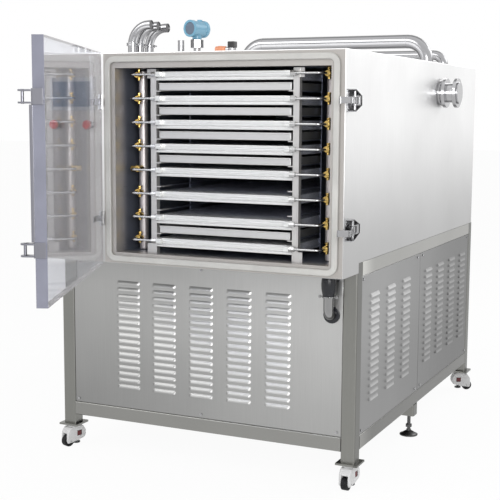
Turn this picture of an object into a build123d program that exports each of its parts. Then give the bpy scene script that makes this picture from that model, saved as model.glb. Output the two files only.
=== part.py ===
from build123d import *

import os

# Vacuum freeze dryer with a clear front door, a rack of heated shelves and a louvred
# base on levelling casters.  Millimetres, +Z up.  The machine is laid out with X = 0 at
# the middle of the base, Y = 0 at the front face of the upper casing (+Y to the back)
# and the floor at FLOOR_Z.  export_nodes() then moves it, so that the origin is on the
# floor at the middle of its footprint.

# ---- driving dimensions ------------------------------------------------------------

FLOOR_Z = 14.0
BASE_HALF_WIDTH = 686.0
BASE_FRONT = 180.0
BASE_BACK = 2000.0
TUBE = 60.0
TUBE_WALL = 3.0
TUBE_CORNER = 6.0
POST_BOTTOM = 122.0
BOTTOM_RAIL_TOP = 224.0
TOP_RAIL_TOP = 926.0
MIDDLE_TUBE = 40.0
PANEL_JOINT_Y = 1045.0
SUPPORT_Y = 1020.0
SUPPORT_X = BASE_HALF_WIDTH - TUBE / 2
STUB_BOTTOM = 111.0
FOOT_PLATE = 92.0
FOOT_PLATE_T = 8.0

CASING_HALF_WIDTH = 691.0
CASING_BACK = 1968.0
CASING_BOTTOM = 886.0
CASING_TOP = 1736.0
CASING_WALL = 3.0
MULLION_LEFT = -362.0
MULLION_RIGHT = -347.0

CHAMBER_LEFT = -293.0
CHAMBER_RIGHT = 634.0
CHAMBER_FLOOR = 933.0
CHAMBER_CEILING = 1675.0
CHAMBER_BACK = 1800.0
CHAMBER_WALL = 10.0
FLANGE_T = 30.0

GASKET_BOX = (-336.0, 670.0, 896.0, 1722.0)
GASKET_WIDTH = 24.0
GASKET_T = 12.0
GASKET_CORNER = 42.0

DOOR_RIGHT = 690.0
DOOR_T = 38.0
DOOR_OPEN_DEG = 67.0
RUN_GAP = 0.3
HINGE_X = -357.0
HINGE_Y = -GASKET_T - RUN_GAP - DOOR_T / 2
HINGE_HEIGHTS = (1070.0, 1540.0)
BARREL_R = 8.0

LATCH_HEIGHTS = {"lower": 1070.0, "upper": 1548.0}
LATCH_PIVOT_X = 707.0
LATCH_PIVOT_Y = 54.0
HOOK_OUT_DEG = 15.0

SHELF_COUNT = 8
SHELF_PITCH = 95.0
TOP_SHELF_TOP = 1661.0
SHELF_PLATE_T = 22.0
SHELF_T = 35.0
SHELF_HALF_WIDTH = 296.5
SHELF_FRONT = 40.0
SHELF_BACK = 1500.0
RACK_POST = 25.0
TRAY_SPACES = 7
LOADED_TRAY_SPACES = (0, 1, 2, 3, 6)
TRAY_HALF_WIDTH = 287.0
TRAY_HEIGHT = 30.0
TRAY_LIFT = 20.0
TRAY_WALL = 2.0

MANIFOLD_OFFSET = 414.0
MANIFOLD_Y = 140.0
MANIFOLD_R = 19.0
SHELF_TUBE_R = 5.0
SHELF_TUBE_Y = 28.0
SOCKET_END = 290.0

PANEL_T = 2.0
PANEL_FOLD = 14.0
LOUVRE_WIDTH = 113.0
LOUVRE_HEIGHT = 15.0
LOUVRE_DEPTH = 8.0
LOUVRE_PITCH = 28.5
TOP_LOUVRE_Z = 775.0
FRONT_LOUVRE_STEP = 175.0
SIDE_LOUVRES = {"front": (617.0, 217.5, (-1, 0, 1)), "back": (1500.0, 210.0, (-1.5, -0.5, 0.5, 1.5))}

SCREEN_X = -511.0
SCREEN_Z = 1572.0
BUTTON_DX = 80.0
BUTTON_Z = 1448.0
BUTTON_TRAVEL = 5.0

DRAIN_X = 580.0
DRAIN_Y = 145.0
DRAIN_Z = 714.0
DRAIN_R = 20.0

CASTER_X = BASE_HALF_WIDTH - TUBE / 2
CASTER_TURNS = {
    "front_left": 20.0,
    "front_right": 4.0,
    "back_left": -160.0,
    "back_right": -115.0,
}
WHEEL_R = 26.0
WHEEL_WIDTH = 26.0
WHEEL_TRAIL = 34.0
PAD_SHIFT = 12.0
PAD_REST = 8.0
DIAL_Z = 57.0
KINGPIN_R = 6.0
STUD_R = 6.0
PIN_FIT = 0.05

PORT_Y = 1305.0
PORT_Z = 1597.0
PORT_END = 775.0

RACK_X = (CHAMBER_LEFT + CHAMBER_RIGHT) / 2
DOOR_FRONT_CLOSED = HINGE_Y - DOOR_T / 2

nodes = {}


# ---- small helpers -----------------------------------------------------------------


def block(x, y, z):
    """A box between three (low, high) pairs."""
    size = (x[1] - x[0], y[1] - y[0], z[1] - z[0])
    return Pos(sum(x) / 2, sum(y) / 2, sum(z) / 2) * Box(*size)


def rod(point, radius, length, axis="Z"):
    """A round bar that starts at point and runs towards +axis."""
    turn = {"Z": Rot(0, 0, 0), "X": Rot(0, 90, 0), "Y": Rot(-90, 0, 0)}[axis]
    return Pos(*point) * turn * Pos(0, 0, length / 2) * Cylinder(radius, length)


def hex_bar(point, across, length, axis="Z"):
    """A hexagon bar that starts at point and runs towards +axis."""
    turn = {"Z": Rot(0, 0, 0), "X": Rot(0, 90, 0), "Y": Rot(-90, 0, 0)}[axis]
    outline = RegularPolygon(across / 2, 6, major_radius=False)
    return Pos(*point) * turn * extrude(outline, amount=length)


def pipe(points, radii, radius, bore=0.0):
    """A round pipe along straight runs joined by tangent arcs."""
    path = FilletPolyline(*points, radius=radii)
    start = Plane(origin=path @ 0, z_dir=path % 0)
    body = sweep(start * Circle(radius), path=path)
    if bore:
        body -= sweep(start * Circle(bore), path=path)
    return body


def square_tube(x, y, z, size=TUBE):
    """A vertical square tube centred at x, y between the two heights z."""
    height = z[1] - z[0]
    outer = extrude(RectangleRounded(size, size, TUBE_CORNER), amount=height)
    inner = extrude(Rectangle(size - 2 * TUBE_WALL, size - 2 * TUBE_WALL), amount=height)
    return Pos(x, y, z[0]) * (outer - inner)


def rail(start, end, axis, height):
    """A horizontal square tube; start and end are its two end points' X or Y."""
    length = end[0] - start[0] if axis == "X" else end[1] - start[1]
    turn = Rot(0, 90, 0) if axis == "X" else Rot(-90, 0, 0)
    tube = square_tube(0, 0, (0, length))
    return Pos(start[0], start[1], height) * turn * tube


def shelf_top(index):
    return TOP_SHELF_TOP - index * SHELF_PITCH


def tray_floor(index):
    """Height of the underside of the tray below shelf number index."""
    return shelf_top(index + 1) + TRAY_LIFT


def add(name, *parts):
    """Keeps the solids of one named sub-part."""
    solids = []
    for part in parts:
        solids += part.solids()
    nodes[name] = solids


# ---- base frame --------------------------------------------------------------------


def corner_post(x, y):
    tube = square_tube(x, y, (POST_BOTTOM, TOP_RAIL_TOP))
    low = POST_BOTTOM - FOOT_PLATE_T
    half = FOOT_PLATE / 2
    plate = block((x - half, x + half), (y - half, y + half), (low, POST_BOTTOM))
    kingpin = rod((x, y, low - 20), KINGPIN_R, 20)
    return tube + plate + kingpin


def support_stub(x):
    """Short leg below the side rail, with a tapped bottom for the levelling foot."""
    low = STUB_BOTTOM
    tube = square_tube(x, SUPPORT_Y, (low, BOTTOM_RAIL_TOP - TUBE))
    inside = TUBE / 2 - TUBE_WALL
    floor = block(
        (x - inside, x + inside), (SUPPORT_Y - inside, SUPPORT_Y + inside), (low, low + 8)
    )
    return tube + floor - rod((x, SUPPORT_Y, low - 1), 8 + PIN_FIT, 12)


def build_frame():
    half = BASE_HALF_WIDTH - TUBE / 2
    front = BASE_FRONT + TUBE / 2
    back = BASE_BACK - TUBE / 2
    middle_x = BASE_HALF_WIDTH - 3 - PANEL_FOLD - MIDDLE_TUBE / 2
    posts = [corner_post(x, y) for x in (-half, half) for y in (front, back)]
    middle = (BOTTOM_RAIL_TOP, TOP_RAIL_TOP - TUBE)
    for side in (-1, 1):
        posts.append(square_tube(side * middle_x, PANEL_JOINT_Y, middle, MIDDLE_TUBE))
        posts.append(support_stub(side * SUPPORT_X))
    add("base_posts", *posts)

    rails = []
    inner = BASE_HALF_WIDTH - TUBE
    for height in (BOTTOM_RAIL_TOP - TUBE / 2, TOP_RAIL_TOP - TUBE / 2):
        for x in (-half, half):
            rails.append(rail((x, BASE_FRONT + TUBE), (x, BASE_BACK - TUBE), "Y", height))
        for y in (front, back):
            rails.append(rail((-inner, y), (inner, y), "X", height))
    for y in (520.0, 820.0, 1300.0, 1640.0, 1775.0):
        rails.append(rail((-inner, y), (inner, y), "X", BOTTOM_RAIL_TOP - TUBE / 2))
    add("base_rails", *rails)


# ---- louvred panels ----------------------------------------------------------------


def louvre_hood():
    """One pressed louvre, facing -Y, with its slot open downwards."""
    half = LOUVRE_HEIGHT / 2
    skin = [(0, half), (-LOUVRE_DEPTH, -half), (PANEL_T - LOUVRE_DEPTH, -half), (PANEL_T, half)]
    cheek = [(0, half), (-LOUVRE_DEPTH, -half), (0, -half)]
    hood = extrude(make_face(Plane.YZ * Polyline(*skin, close=True)), amount=LOUVRE_WIDTH)
    side = extrude(make_face(Plane.YZ * Polyline(*cheek, close=True)), amount=PANEL_T)
    far_side = Pos(LOUVRE_WIDTH - PANEL_T, 0, 0) * side
    return Pos(-LOUVRE_WIDTH / 2, 0, 0) * (hood + side + far_side)


def folded_panel(width, height):
    """A sheet cover facing -Y with its four edges folded back; corner at the origin."""
    pan = block((0, width), (0, PANEL_FOLD), (0, height))
    inside = block(
        (PANEL_T, width - PANEL_T), (PANEL_T, PANEL_FOLD + 1), (PANEL_T, height - PANEL_T)
    )
    return pan - inside


def louvre_panel(width, low, high, centres, rows):
    """A folded cover with columns of louvres at the given centres."""
    panel = folded_panel(width, high - low)
    slot_width = LOUVRE_WIDTH - 2 * PANEL_T
    slot = Box(slot_width, 3 * PANEL_T, LOUVRE_HEIGHT)
    hood = louvre_hood()
    places = []
    for x in centres:
        for row in range(rows):
            places.append(Pos(x, 0, TOP_LOUVRE_Z - low - row * LOUVRE_PITCH))
    panel -= [place * slot for place in places]
    panel += [place * hood for place in places]
    return panel


def build_panels():
    low = BOTTOM_RAIL_TOP
    high = TOP_RAIL_TOP - TUBE
    inner = BASE_HALF_WIDTH - TUBE
    centres = [inner + FRONT_LOUVRE_STEP * k for k in (-2, -1, 0, 1, 2)]
    front = louvre_panel(2 * inner, low, high, centres, 17)
    front = Pos(-inner, BASE_FRONT + 4, low) * front
    front -= rod((DRAIN_X, BASE_FRONT, DRAIN_Z), 26, 10, "Y")
    add("front_louvre_panel", front)

    joint = 1.5
    first = BASE_FRONT + TUBE
    last = BASE_BACK - TUBE
    second = PANEL_JOINT_Y + joint
    width_1 = PANEL_JOINT_Y - joint - first
    width_2 = last - second
    middle, step, columns = SIDE_LOUVRES["front"]
    panel_1 = louvre_panel(width_1, low, high, [middle - first + step * k for k in columns], 16)
    middle, step, columns = SIDE_LOUVRES["back"]
    panel_2 = louvre_panel(width_2, low, high, [middle - second + step * k for k in columns], 16)
    face = BASE_HALF_WIDTH - 2
    add("right_front_louvre_panel", Pos(face, first, low) * Rot(0, 0, 90) * panel_1)
    add("right_back_louvre_panel", Pos(face, second, low) * Rot(0, 0, 90) * panel_2)

    left_1 = Pos(-face, PANEL_JOINT_Y - joint, low) * Rot(0, 0, -90) * folded_panel(width_1, high - low)
    left_2 = Pos(-face, last, low) * Rot(0, 0, -90) * folded_panel(width_2, high - low)
    add("left_side_panels", left_1, left_2)

    back = Pos(inner, BASE_BACK - 4, low) * Rot(0, 0, 180) * folded_panel(2 * inner, high - low)
    add("back_panel", back)


def build_screws():
    """Button-head screws that hold the covers on."""
    low = BOTTOM_RAIL_TOP + 16
    high = TOP_RAIL_TOP - TUBE - 14
    side = BASE_HALF_WIDTH - 2
    head = 3.0
    screws = []
    for x in (-608.0, 0.0, 608.0):
        for z in (low, high):
            screws.append(rod((x, BASE_FRONT + 4 - head, z), 5.5, head, "Y"))
            screws.append(rod((x, BASE_BACK - 4, z), 5.5, head, "Y"))
    for y in (258.0, PANEL_JOINT_Y - 42, PANEL_JOINT_Y + 42, 1922.0):
        for z in (low, high):
            screws.append(rod((side, y, z), 5.5, head, "X"))
            screws.append(rod((-side - head, y, z), 5.5, head, "X"))
    add("panel_screws", *screws)


# ---- upper casing, chamber and gasket ----------------------------------------------


def stepped_profile(front, back, inset):
    """Side outline of the casing, which drops lower where it overhangs the base."""
    step = BASE_FRONT - 2 - inset
    return make_face(
        Plane.YZ
        * Polyline(
            (front, CASING_BOTTOM + inset),
            (step, CASING_BOTTOM + inset),
            (step, TOP_RAIL_TOP + inset),
            (back, TOP_RAIL_TOP + inset),
            (back, CASING_TOP - inset),
            (front, CASING_TOP - inset),
            close=True,
        )
    )


def build_casing():
    half = CASING_HALF_WIDTH
    wall = CASING_WALL
    outer = Pos(-half, 0, 0) * extrude(stepped_profile(0, CASING_BACK, 0), amount=2 * half)
    inner = extrude(stepped_profile(-1, CASING_BACK - wall, wall), amount=2 * (half - wall))
    casing = outer - Pos(wall - half, 0, 0) * inner
    mullion = block(
        (MULLION_LEFT, MULLION_RIGHT), (0, wall), (CASING_BOTTOM + wall, CASING_TOP - wall)
    )
    partition = block(
        (MULLION_RIGHT - wall, MULLION_RIGHT),
        (wall, CASING_BACK - wall),
        (TOP_RAIL_TOP + wall, CASING_TOP - wall),
    )
    brackets = [hinge_bracket(z) for z in HINGE_HEIGHTS]
    drain_nipple = rod((DRAIN_X, DRAIN_Y, CASING_BOTTOM - 16), DRAIN_R - 1, 17)
    add("outer_casing", casing + mullion + partition + brackets + drain_nipple)


def build_chamber():
    wall = CHAMBER_WALL
    flange = block(
        (MULLION_RIGHT, CASING_HALF_WIDTH - CASING_WALL),
        (0, FLANGE_T),
        (CASING_BOTTOM + CASING_WALL, CASING_TOP - CASING_WALL),
    )
    body = block(
        (CHAMBER_LEFT - wall, CHAMBER_RIGHT + wall),
        (FLANGE_T, CHAMBER_BACK + wall),
        (CHAMBER_FLOOR - 4, CHAMBER_CEILING + wall),
    )
    cavity = block(
        (CHAMBER_LEFT, CHAMBER_RIGHT), (-1, CHAMBER_BACK), (CHAMBER_FLOOR, CHAMBER_CEILING)
    )
    add("vacuum_chamber", flange + body - cavity)


def build_gasket():
    left, right, low, high = GASKET_BOX
    centre = Pos((left + right) / 2, 0, (low + high) / 2)
    width, height = right - left, high - low
    thin = 2 * GASKET_WIDTH
    outer = RectangleRounded(width, height, GASKET_CORNER)
    inner = RectangleRounded(width - thin, height - thin, GASKET_CORNER - GASKET_WIDTH)
    ring = extrude(Plane.XZ * (outer - inner), amount=GASKET_T)
    add("door_gasket", centre * ring)


# ---- shelf rack, shelves and trays -------------------------------------------------


def build_rack():
    """Uprights, tie plates and tabs, with a pair of flat tray bars for every tray space."""
    inner = SHELF_HALF_WIDTH
    outer = inner + RACK_POST
    floor, top = CHAMBER_FLOOR, CHAMBER_CEILING - 4
    members = []
    for side in (-1, 1):
        post_x = sorted((RACK_X + side * inner, RACK_X + side * outer))
        tab_x = sorted((RACK_X + side * outer, RACK_X + side * (outer + 18)))
        tie_x = sorted((RACK_X + side * inner, RACK_X + side * (inner + 4)))
        bar_x = sorted((RACK_X + side * inner, RACK_X + side * (inner - 20)))
        for y in (SHELF_FRONT, SHELF_BACK - RACK_POST):
            members.append(block(post_x, (y, y + RACK_POST), (floor, top)))
            members.append(block(tab_x, (y, y + 4), (floor, floor + 40)))
            members.append(block(tab_x, (y + 4, y + 8), (top - 36, top)))
        for y in (330.0, 930.0):
            members.append(block(tie_x, (y, y + 100), (floor, top)))
        for index in range(TRAY_SPACES):
            height = tray_floor(index)
            members.append(block(bar_x, (SHELF_FRONT, SHELF_BACK), (height - 4, height)))
    add("shelf_rack", *members)


def shelf(top):
    """A heated plate with a shallow skirt and a socket at each front corner."""
    left, right = RACK_X - SHELF_HALF_WIDTH, RACK_X + SHELF_HALF_WIDTH
    low = top - SHELF_T
    plate = block((left, right), (SHELF_FRONT, SHELF_BACK), (top - SHELF_PLATE_T, top))
    groove = block(
        (left + 2, right - 2),
        (SHELF_FRONT + 2, SHELF_BACK - 2),
        (top - SHELF_PLATE_T - 2, top - SHELF_PLATE_T),
    )
    skirt = block((left, right), (SHELF_FRONT, SHELF_BACK), (low, top - SHELF_PLATE_T - 2))
    skirt -= block((left + 5, right - 5), (SHELF_FRONT + 5, SHELF_BACK - 5), (low - 1, top))
    neck = groove - block(
        (left + 5, right - 5), (SHELF_FRONT + 5, SHELF_BACK - 5), (low - 1, top)
    )
    middle = top - SHELF_PLATE_T / 2
    sockets = []
    for side in (-1, 1):
        x = sorted((RACK_X + side * (SOCKET_END - 22), RACK_X + side * SOCKET_END))
        sockets.append(block(x, (SHELF_TUBE_Y - 9, SHELF_FRONT), (middle - 10, middle + 10)))
    return plate + neck + skirt + sockets


def tray(floor):
    """A shallow pan, open at the top, with a rolled rim at its front edge."""
    x = (RACK_X - TRAY_HALF_WIDTH, RACK_X + TRAY_HALF_WIDTH)
    y = (SHELF_FRONT + 5, SHELF_BACK - 20)
    pan = block(x, y, (floor, floor + TRAY_HEIGHT))
    inside_x = (x[0] + TRAY_WALL, x[1] - TRAY_WALL)
    inside_y = (y[0] + TRAY_WALL, y[1] - TRAY_WALL)
    pan -= block(inside_x, inside_y, (floor + TRAY_WALL, floor + TRAY_HEIGHT + 1))
    rim = block(x, (y[0] - 3, y[0]), (floor + TRAY_HEIGHT - 5, floor + TRAY_HEIGHT))
    return pan + rim


def build_shelves():
    add("shelves", *[shelf(shelf_top(k)) for k in range(SHELF_COUNT)])
    add("trays", *[tray(tray_floor(k)) for k in LOADED_TRAY_SPACES])


# ---- heating circuit ---------------------------------------------------------------


def port_height(index):
    """Height of a shelf's mid-plane, where its tubes and manifold ports are."""
    return shelf_top(index) - SHELF_PLATE_T / 2


def shelf_tube(side, index):
    """One bent tube from a shelf socket to its manifold port, with its steel nut."""
    z = port_height(index)
    x_start = RACK_X + side * SOCKET_END
    x_end = RACK_X + side * MANIFOLD_OFFSET
    points = [(x_start, SHELF_TUBE_Y, z), (x_end, SHELF_TUBE_Y, z), (x_end, MANIFOLD_Y - 54, z)]
    tube = pipe(points, 24, SHELF_TUBE_R)
    nut_start = x_start if side > 0 else x_start - 22
    return tube + hex_bar((nut_start, SHELF_TUBE_Y, z), 18, 22, "X")


def port_fitting(side, index):
    """Brass tee between a tube and its manifold port, with a capped bleed branch."""
    x = RACK_X + side * MANIFOLD_OFFSET
    y = MANIFOLD_Y - 34
    z = port_height(index)
    nut = hex_bar((x, MANIFOLD_Y - 54, z), 22, 14, "Y")
    body = rod((x, MANIFOLD_Y - 40, z), 8, 40 - MANIFOLD_R, "Y")
    branch = rod((x, y, z - 22), 6.5, 38)
    cap = hex_bar((x, y, z + 16), 14, 8)
    return nut + body + branch + cap


def balancing_valve(index):
    """The larger brass angle valve that closes one port for air bleeding."""
    x = RACK_X - MANIFOLD_OFFSET
    z = port_height(index)
    body = rod((x, MANIFOLD_Y - 54, z), 13, 54 - MANIFOLD_R, "Y")
    bonnet = hex_bar((x - 34, MANIFOLD_Y - 40, z), 24, 34, "X")
    return body + bonnet


def build_heating():
    manifolds = []
    for side in (-1, 1):
        x = RACK_X + side * MANIFOLD_OFFSET
        column = rod((x, MANIFOLD_Y, CHAMBER_FLOOR), MANIFOLD_R, TOP_SHELF_TOP + 8 - CHAMBER_FLOOR)
        for index in range(SHELF_COUNT):
            seat = rod((x, MANIFOLD_Y - MANIFOLD_R - 1, port_height(index)), 14, 4, "Y")
            column -= Pos(0, -2, 0) * seat
        manifolds.append(column)
    add("manifolds", *manifolds)
    levels = range(SHELF_COUNT)
    add("shelf_tubes", *[shelf_tube(side, k) for side in (-1, 1) for k in levels])
    valve_level = 4
    fittings = [port_fitting(1, k) for k in levels]
    fittings += [port_fitting(-1, k) for k in levels if k != valve_level]
    add("tube_fittings", *fittings, balancing_valve(valve_level))


# ---- control section ---------------------------------------------------------------


def build_controls():
    wall = CASING_WALL
    x = (wall - CASING_HALF_WIDTH, MULLION_LEFT)
    z = (CASING_BOTTOM + wall, CASING_TOP - wall)
    panel = block(x, (0, 22), z)
    panel -= block((x[0] + 2, x[1] - 2), (2, 23), (z[0] + 2, z[1] - 2))
    panel -= block(
        (SCREEN_X - 96, SCREEN_X + 96), (-1, 3), (SCREEN_Z - 60, SCREEN_Z + 60)
    )
    for dx in (-BUTTON_DX, BUTTON_DX):
        panel -= rod((SCREEN_X + dx, -1, BUTTON_Z), 11, 5, "Y")
    add("control_panel", panel)

    bezel = block((SCREEN_X - 106, SCREEN_X + 106), (-6, 0), (SCREEN_Z - 68, SCREEN_Z + 68))
    bezel -= block((SCREEN_X - 91, SCREEN_X + 91), (-7, -5), (SCREEN_Z - 51, SCREEN_Z + 51))
    housing = block((SCREEN_X - 95, SCREEN_X + 95), (0, 44), (SCREEN_Z - 59, SCREEN_Z + 59))
    add("touch_screen", bezel + housing)

    collars = []
    for name, dx in (("left", -BUTTON_DX), ("right", BUTTON_DX)):
        x = SCREEN_X + dx
        collar = rod((x, -8, BUTTON_Z), 17, 8, "Y") + rod((x, 0, BUTTON_Z), 11, 30, "Y")
        collar -= rod((x, -9, BUTTON_Z), 6 + PIN_FIT, 40, "Y")
        collars.append(collar)
        head = Pos(x, -8 - BUTTON_TRAVEL - 1, BUTTON_Z) * Rot(90, 0, 0) * mushroom()
        add(f"stop_button_{name}", head + rod((x, -15, BUTTON_Z), 6, 45, "Y"))
    add("button_collars", *collars)


def mushroom():
    """A domed button head, flat side at the origin, 14 tall."""
    outline = make_face(
        Polyline((0, 0), (12, 0), (19, 4), (19, 9), (13, 14), (0, 14), close=True)
    )
    return revolve(Plane.XZ * outline, axis=Axis.Z)


# ---- door and latches --------------------------------------------------------------


def opened(part):
    """Turns a part that was drawn with the door shut to where the door stands."""
    return part.rotate(Axis((HINGE_X, HINGE_Y, 0), (0, 0, 1)), -DOOR_OPEN_DEG)


def hinge_bracket(z):
    """Fixed half of a hinge: two knuckles and the pin on an arm from the mullion."""
    arm = block((HINGE_X - 5, HINGE_X + 5), (HINGE_Y, 0), (z - 30, z + 30))
    arm -= block((HINGE_X - 12, HINGE_X + 12), (HINGE_Y - 12, HINGE_Y + 25), (z - 12, z + 12))
    foot = block((MULLION_LEFT + 1, MULLION_RIGHT), (-3, 0), (z - 30, z + 30))
    knuckles = [rod((HINGE_X, HINGE_Y, z - 30), BARREL_R, 18)]
    knuckles.append(rod((HINGE_X, HINGE_Y, z + 12), BARREL_R, 18))
    pin = rod((HINGE_X, HINGE_Y, z - 30), 4, 60)
    return arm + foot + knuckles + pin


def door_hinge_leaf(z):
    """Moving half of a hinge: the middle knuckle and a strap on the door's face."""
    half = 12 - RUN_GAP
    face = DOOR_FRONT_CLOSED
    knuckle = rod((HINGE_X, HINGE_Y, z - half), BARREL_R, 2 * half)
    web = block((HINGE_X - BARREL_R, HINGE_X), (face - 4, HINGE_Y), (z - half, z + half))
    strap = block((HINGE_X - BARREL_R, MULLION_RIGHT + 60), (face - 4, face), (z - half, z + half))
    leaf = knuckle + web + strap - rod((HINGE_X, HINGE_Y, z - 20), 4 + PIN_FIT, 40)
    return opened(leaf)


def latch_strap(z):
    """Bracket round the door's free edge, with the clevis that the hook pulls on."""
    face = DOOR_FRONT_CLOSED
    edge = DOOR_RIGHT
    strap = block((edge - 62, edge + 3), (face - 4, face), (z - 25, z + 25))
    strap += block((edge, edge + 3), (face, face + DOOR_T - 4), (z - 25, z + 25))
    for low in (z - 22, z + 16):
        ear = block((edge - 26, edge + 3), (face - 34, face - 4), (low, low + 6))
        tip = rod((edge - 11.5, face - 34, low), 14.5, 6)
        strap += ear + tip
    return strap + rod((edge - 11.5, face - 34, z - 20), 5, 40)


def build_door():
    low, high = CASING_BOTTOM, CASING_TOP
    y = (DOOR_FRONT_CLOSED, DOOR_FRONT_CLOSED + DOOR_T)
    sheet = block((MULLION_RIGHT, DOOR_RIGHT), y, (low, high))
    sheet = chamfer(sheet.edges().filter_by(Axis.Z), 2)
    add("door_panel", opened(sheet))
    add("door_hinge_leaves", *[door_hinge_leaf(z) for z in HINGE_HEIGHTS])
    bar_z = (LATCH_HEIGHTS["lower"] + 25, LATCH_HEIGHTS["upper"] - 25)
    bar_x = (DOOR_RIGHT - 27, DOOR_RIGHT - 2)
    bar = block(bar_x, (DOOR_FRONT_CLOSED - 12, DOOR_FRONT_CLOSED), bar_z)
    for z in LATCH_HEIGHTS.values():
        bar += latch_strap(z)
    add("door_latch_bar", opened(bar))


def latch_bracket(z):
    """Half-hexagon pan on the casing's side with the fixed pin across it."""
    outline = [(4, -42), (36, -42), (104, -18), (104, 18), (36, 42), (4, 42)]
    outer = make_face(Plane.YZ * Polyline(*outline, close=True))
    inner = offset(outer, -3)
    pan = extrude(outer, amount=28) - Pos(3, 0, 0) * extrude(inner, amount=28)
    pan -= block((3, 30), (0, 8), (-39, 39))
    pin = rod((LATCH_PIVOT_X - CASING_HALF_WIDTH, LATCH_PIVOT_Y, -34), 5, 68)
    return Pos(CASING_HALF_WIDTH, 0, z) * (pan + pin)


def latch_hook(z):
    """Arm that reaches forward past the corner and hooks the door's clevis."""
    x, y = LATCH_PIVOT_X, LATCH_PIVOT_Y
    reach = DOOR_FRONT_CLOSED - 34 - 6.5
    arm = block((x - 6, x + 6), (reach - 10, y), (-12, 12))
    nose = block((DOOR_RIGHT - 22, x + 6), (reach - 10, reach), (-12, 12))
    tip = rod((DOOR_RIGHT - 22, reach - 5, -12), 5, 24)
    hub = rod((x, y, -12), 10, 24)
    hook = arm + nose + tip + hub - rod((x, y, -20), 5 + PIN_FIT, 40)
    hook = hook.rotate(Axis((x, y, 0), (0, 0, 1)), HOOK_OUT_DEG)
    return Pos(0, 0, z) * hook


def latch_lever(z):
    """Folding lever: two arms either side of the hook's hub and a flat grip."""
    x, y = LATCH_PIVOT_X, LATCH_PIVOT_Y
    lever = block((x + 6, x + 11), (y + 18, y + 38), (-18, 18))
    for low in (-18, 13):
        lever += rod((x, y, low), 10, 5)
        lever += block((x, x + 11), (y, y + 24), (low, low + 5))
    lever -= rod((x, y, -30), 5 + PIN_FIT, 60)
    return Pos(0, 0, z) * lever


def build_latches():
    add("latch_brackets", *[latch_bracket(z) for z in LATCH_HEIGHTS.values()])
    for name, z in LATCH_HEIGHTS.items():
        add(f"latch_hook_{name}", latch_hook(z))
        add(f"latch_lever_{name}", latch_lever(z))


# ---- drain -------------------------------------------------------------------------


def build_drain():
    x, y = DRAIN_X, DRAIN_Y
    top, low = CASING_BOTTOM - 2, CASING_BOTTOM - 92
    bend = 30.0
    turn_z = DRAIN_Z
    points = [(x, y, low + 6), (x, y, turn_z), (x, BASE_FRONT + 12, turn_z)]
    elbow = pipe(points, bend, DRAIN_R, DRAIN_R - 2)
    clamp = rod((x, y, low - 6), DRAIN_R + 5, 6) - rod((x, y, low - 7), DRAIN_R - 1, 9)
    elbow += clamp
    for side in (-1, 1):
        ear = block(sorted((x + side * 22, x + side * 34)), (y - 3, y + 3), (low - 6, low))
        elbow += ear + rod((x + side * 36, y - 3, low - 3), 6, 6, "Y")
    add("drain_elbow", elbow)

    outline = [(DRAIN_R + 0.1, low), (25, low), (29, low + 30), (29, low + 60), (25, top)]
    outline.append((DRAIN_R + 0.1, top))
    sleeve = revolve(make_face(Plane.XZ * Polyline(*outline, close=True)), axis=Axis.Z)
    face = BASE_FRONT + 4
    ring = rod((x, face - 7, turn_z), 34, 7, "Y") + rod((x, face, turn_z), 26, 6, "Y")
    grommet = ring - rod((x, face - 8, turn_z), DRAIN_R + 0.1, 20, "Y")
    add("drain_rubbers", Pos(x, y, 0) * sleeve, grommet)


# ---- roof --------------------------------------------------------------------------


def vent(x, y, rise, bend, run):
    """A sanitary riser with a clamp and an elbow turned towards +X."""
    r = 19.0
    top = CASING_TOP + rise
    riser = pipe([(x, y, CASING_TOP), (x, y, top), (x + run, y, top)], bend, r, r - 1.6)
    ferrule = rod((x, y, CASING_TOP + 38), r + 6, 12) - rod((x, y, CASING_TOP + 37), r - 1.6, 14)
    screw = rod((x + r + 2, y, CASING_TOP + 44), 4, 16, "X")
    return riser + ferrule + screw


def build_roof_fittings():
    rises = {200: 123, 259: 121, 338: 119}
    vents = [vent(-330, row, rise, 80, 92) for row, rise in rises.items()]
    stub = rod((-100, 200, CASING_TOP), 13, 56) - rod((-100, 200, CASING_TOP + 6), 11, 56)
    x, y = -26, 200
    stem = rod((x, y, CASING_TOP), 14, 24) + hex_bar((x, y, CASING_TOP + 24), 46, 34)
    nipple = rod((132, 200, CASING_TOP), 10, 10)
    add("roof_fittings", *vents, stub, stem, nipple)


def build_transmitter():
    """Pressure transmitter head: a short barrel with a window end and a conduit boss."""
    barrel = rod((0, -38, 0), 32, 76, "Y")
    barrel += rod((0, -45, 0), 34, 12, "Y") + rod((0, 33, 0), 34, 12, "Y")
    barrel -= rod((0, -46, 0), 24, 5, "Y")
    barrel += rod((0, 16, 16), 10.5, 21) + rod((0, 0, -42), 19, 36)
    place = Pos(-26, 200, CASING_TOP + 58 + 42)
    add("pressure_transmitter", place * Rot(0, 0, -14) * barrel)


def build_air_valve():
    x, y, z = 82, 200, CASING_TOP + 16
    body = rod((x - 22, y, z), 13, 62, "X")
    body += rod((x + 50, y, CASING_TOP + 10), 16, 12)
    coil = block((x + 36, x + 66), (y - 15, y + 15), (CASING_TOP + 22, CASING_TOP + 48))
    add("air_valve", body - coil, coil)


def build_roof_pipes():
    """The vacuum line and the hot-gas line that cross the roof."""
    z, y = CASING_TOP + 100, 1250
    left, right = -300, 631
    points = [(left, y, CASING_TOP), (left, y, z), (right, y, z), (right, y, CASING_TOP)]
    vacuum = pipe(points, 95, 32)
    vacuum += rod((left, y, CASING_TOP), 46, 6) + rod((right, y, CASING_TOP), 46, 6)
    z, y = CASING_TOP + 53, 1600
    left, right = 200, 615
    points = [(left, y, CASING_TOP), (left, y, z), (right, y, z), (right, y, CASING_TOP)]
    gas = pipe(points, 50, 24)
    add("roof_pipes", vacuum, gas)


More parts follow.
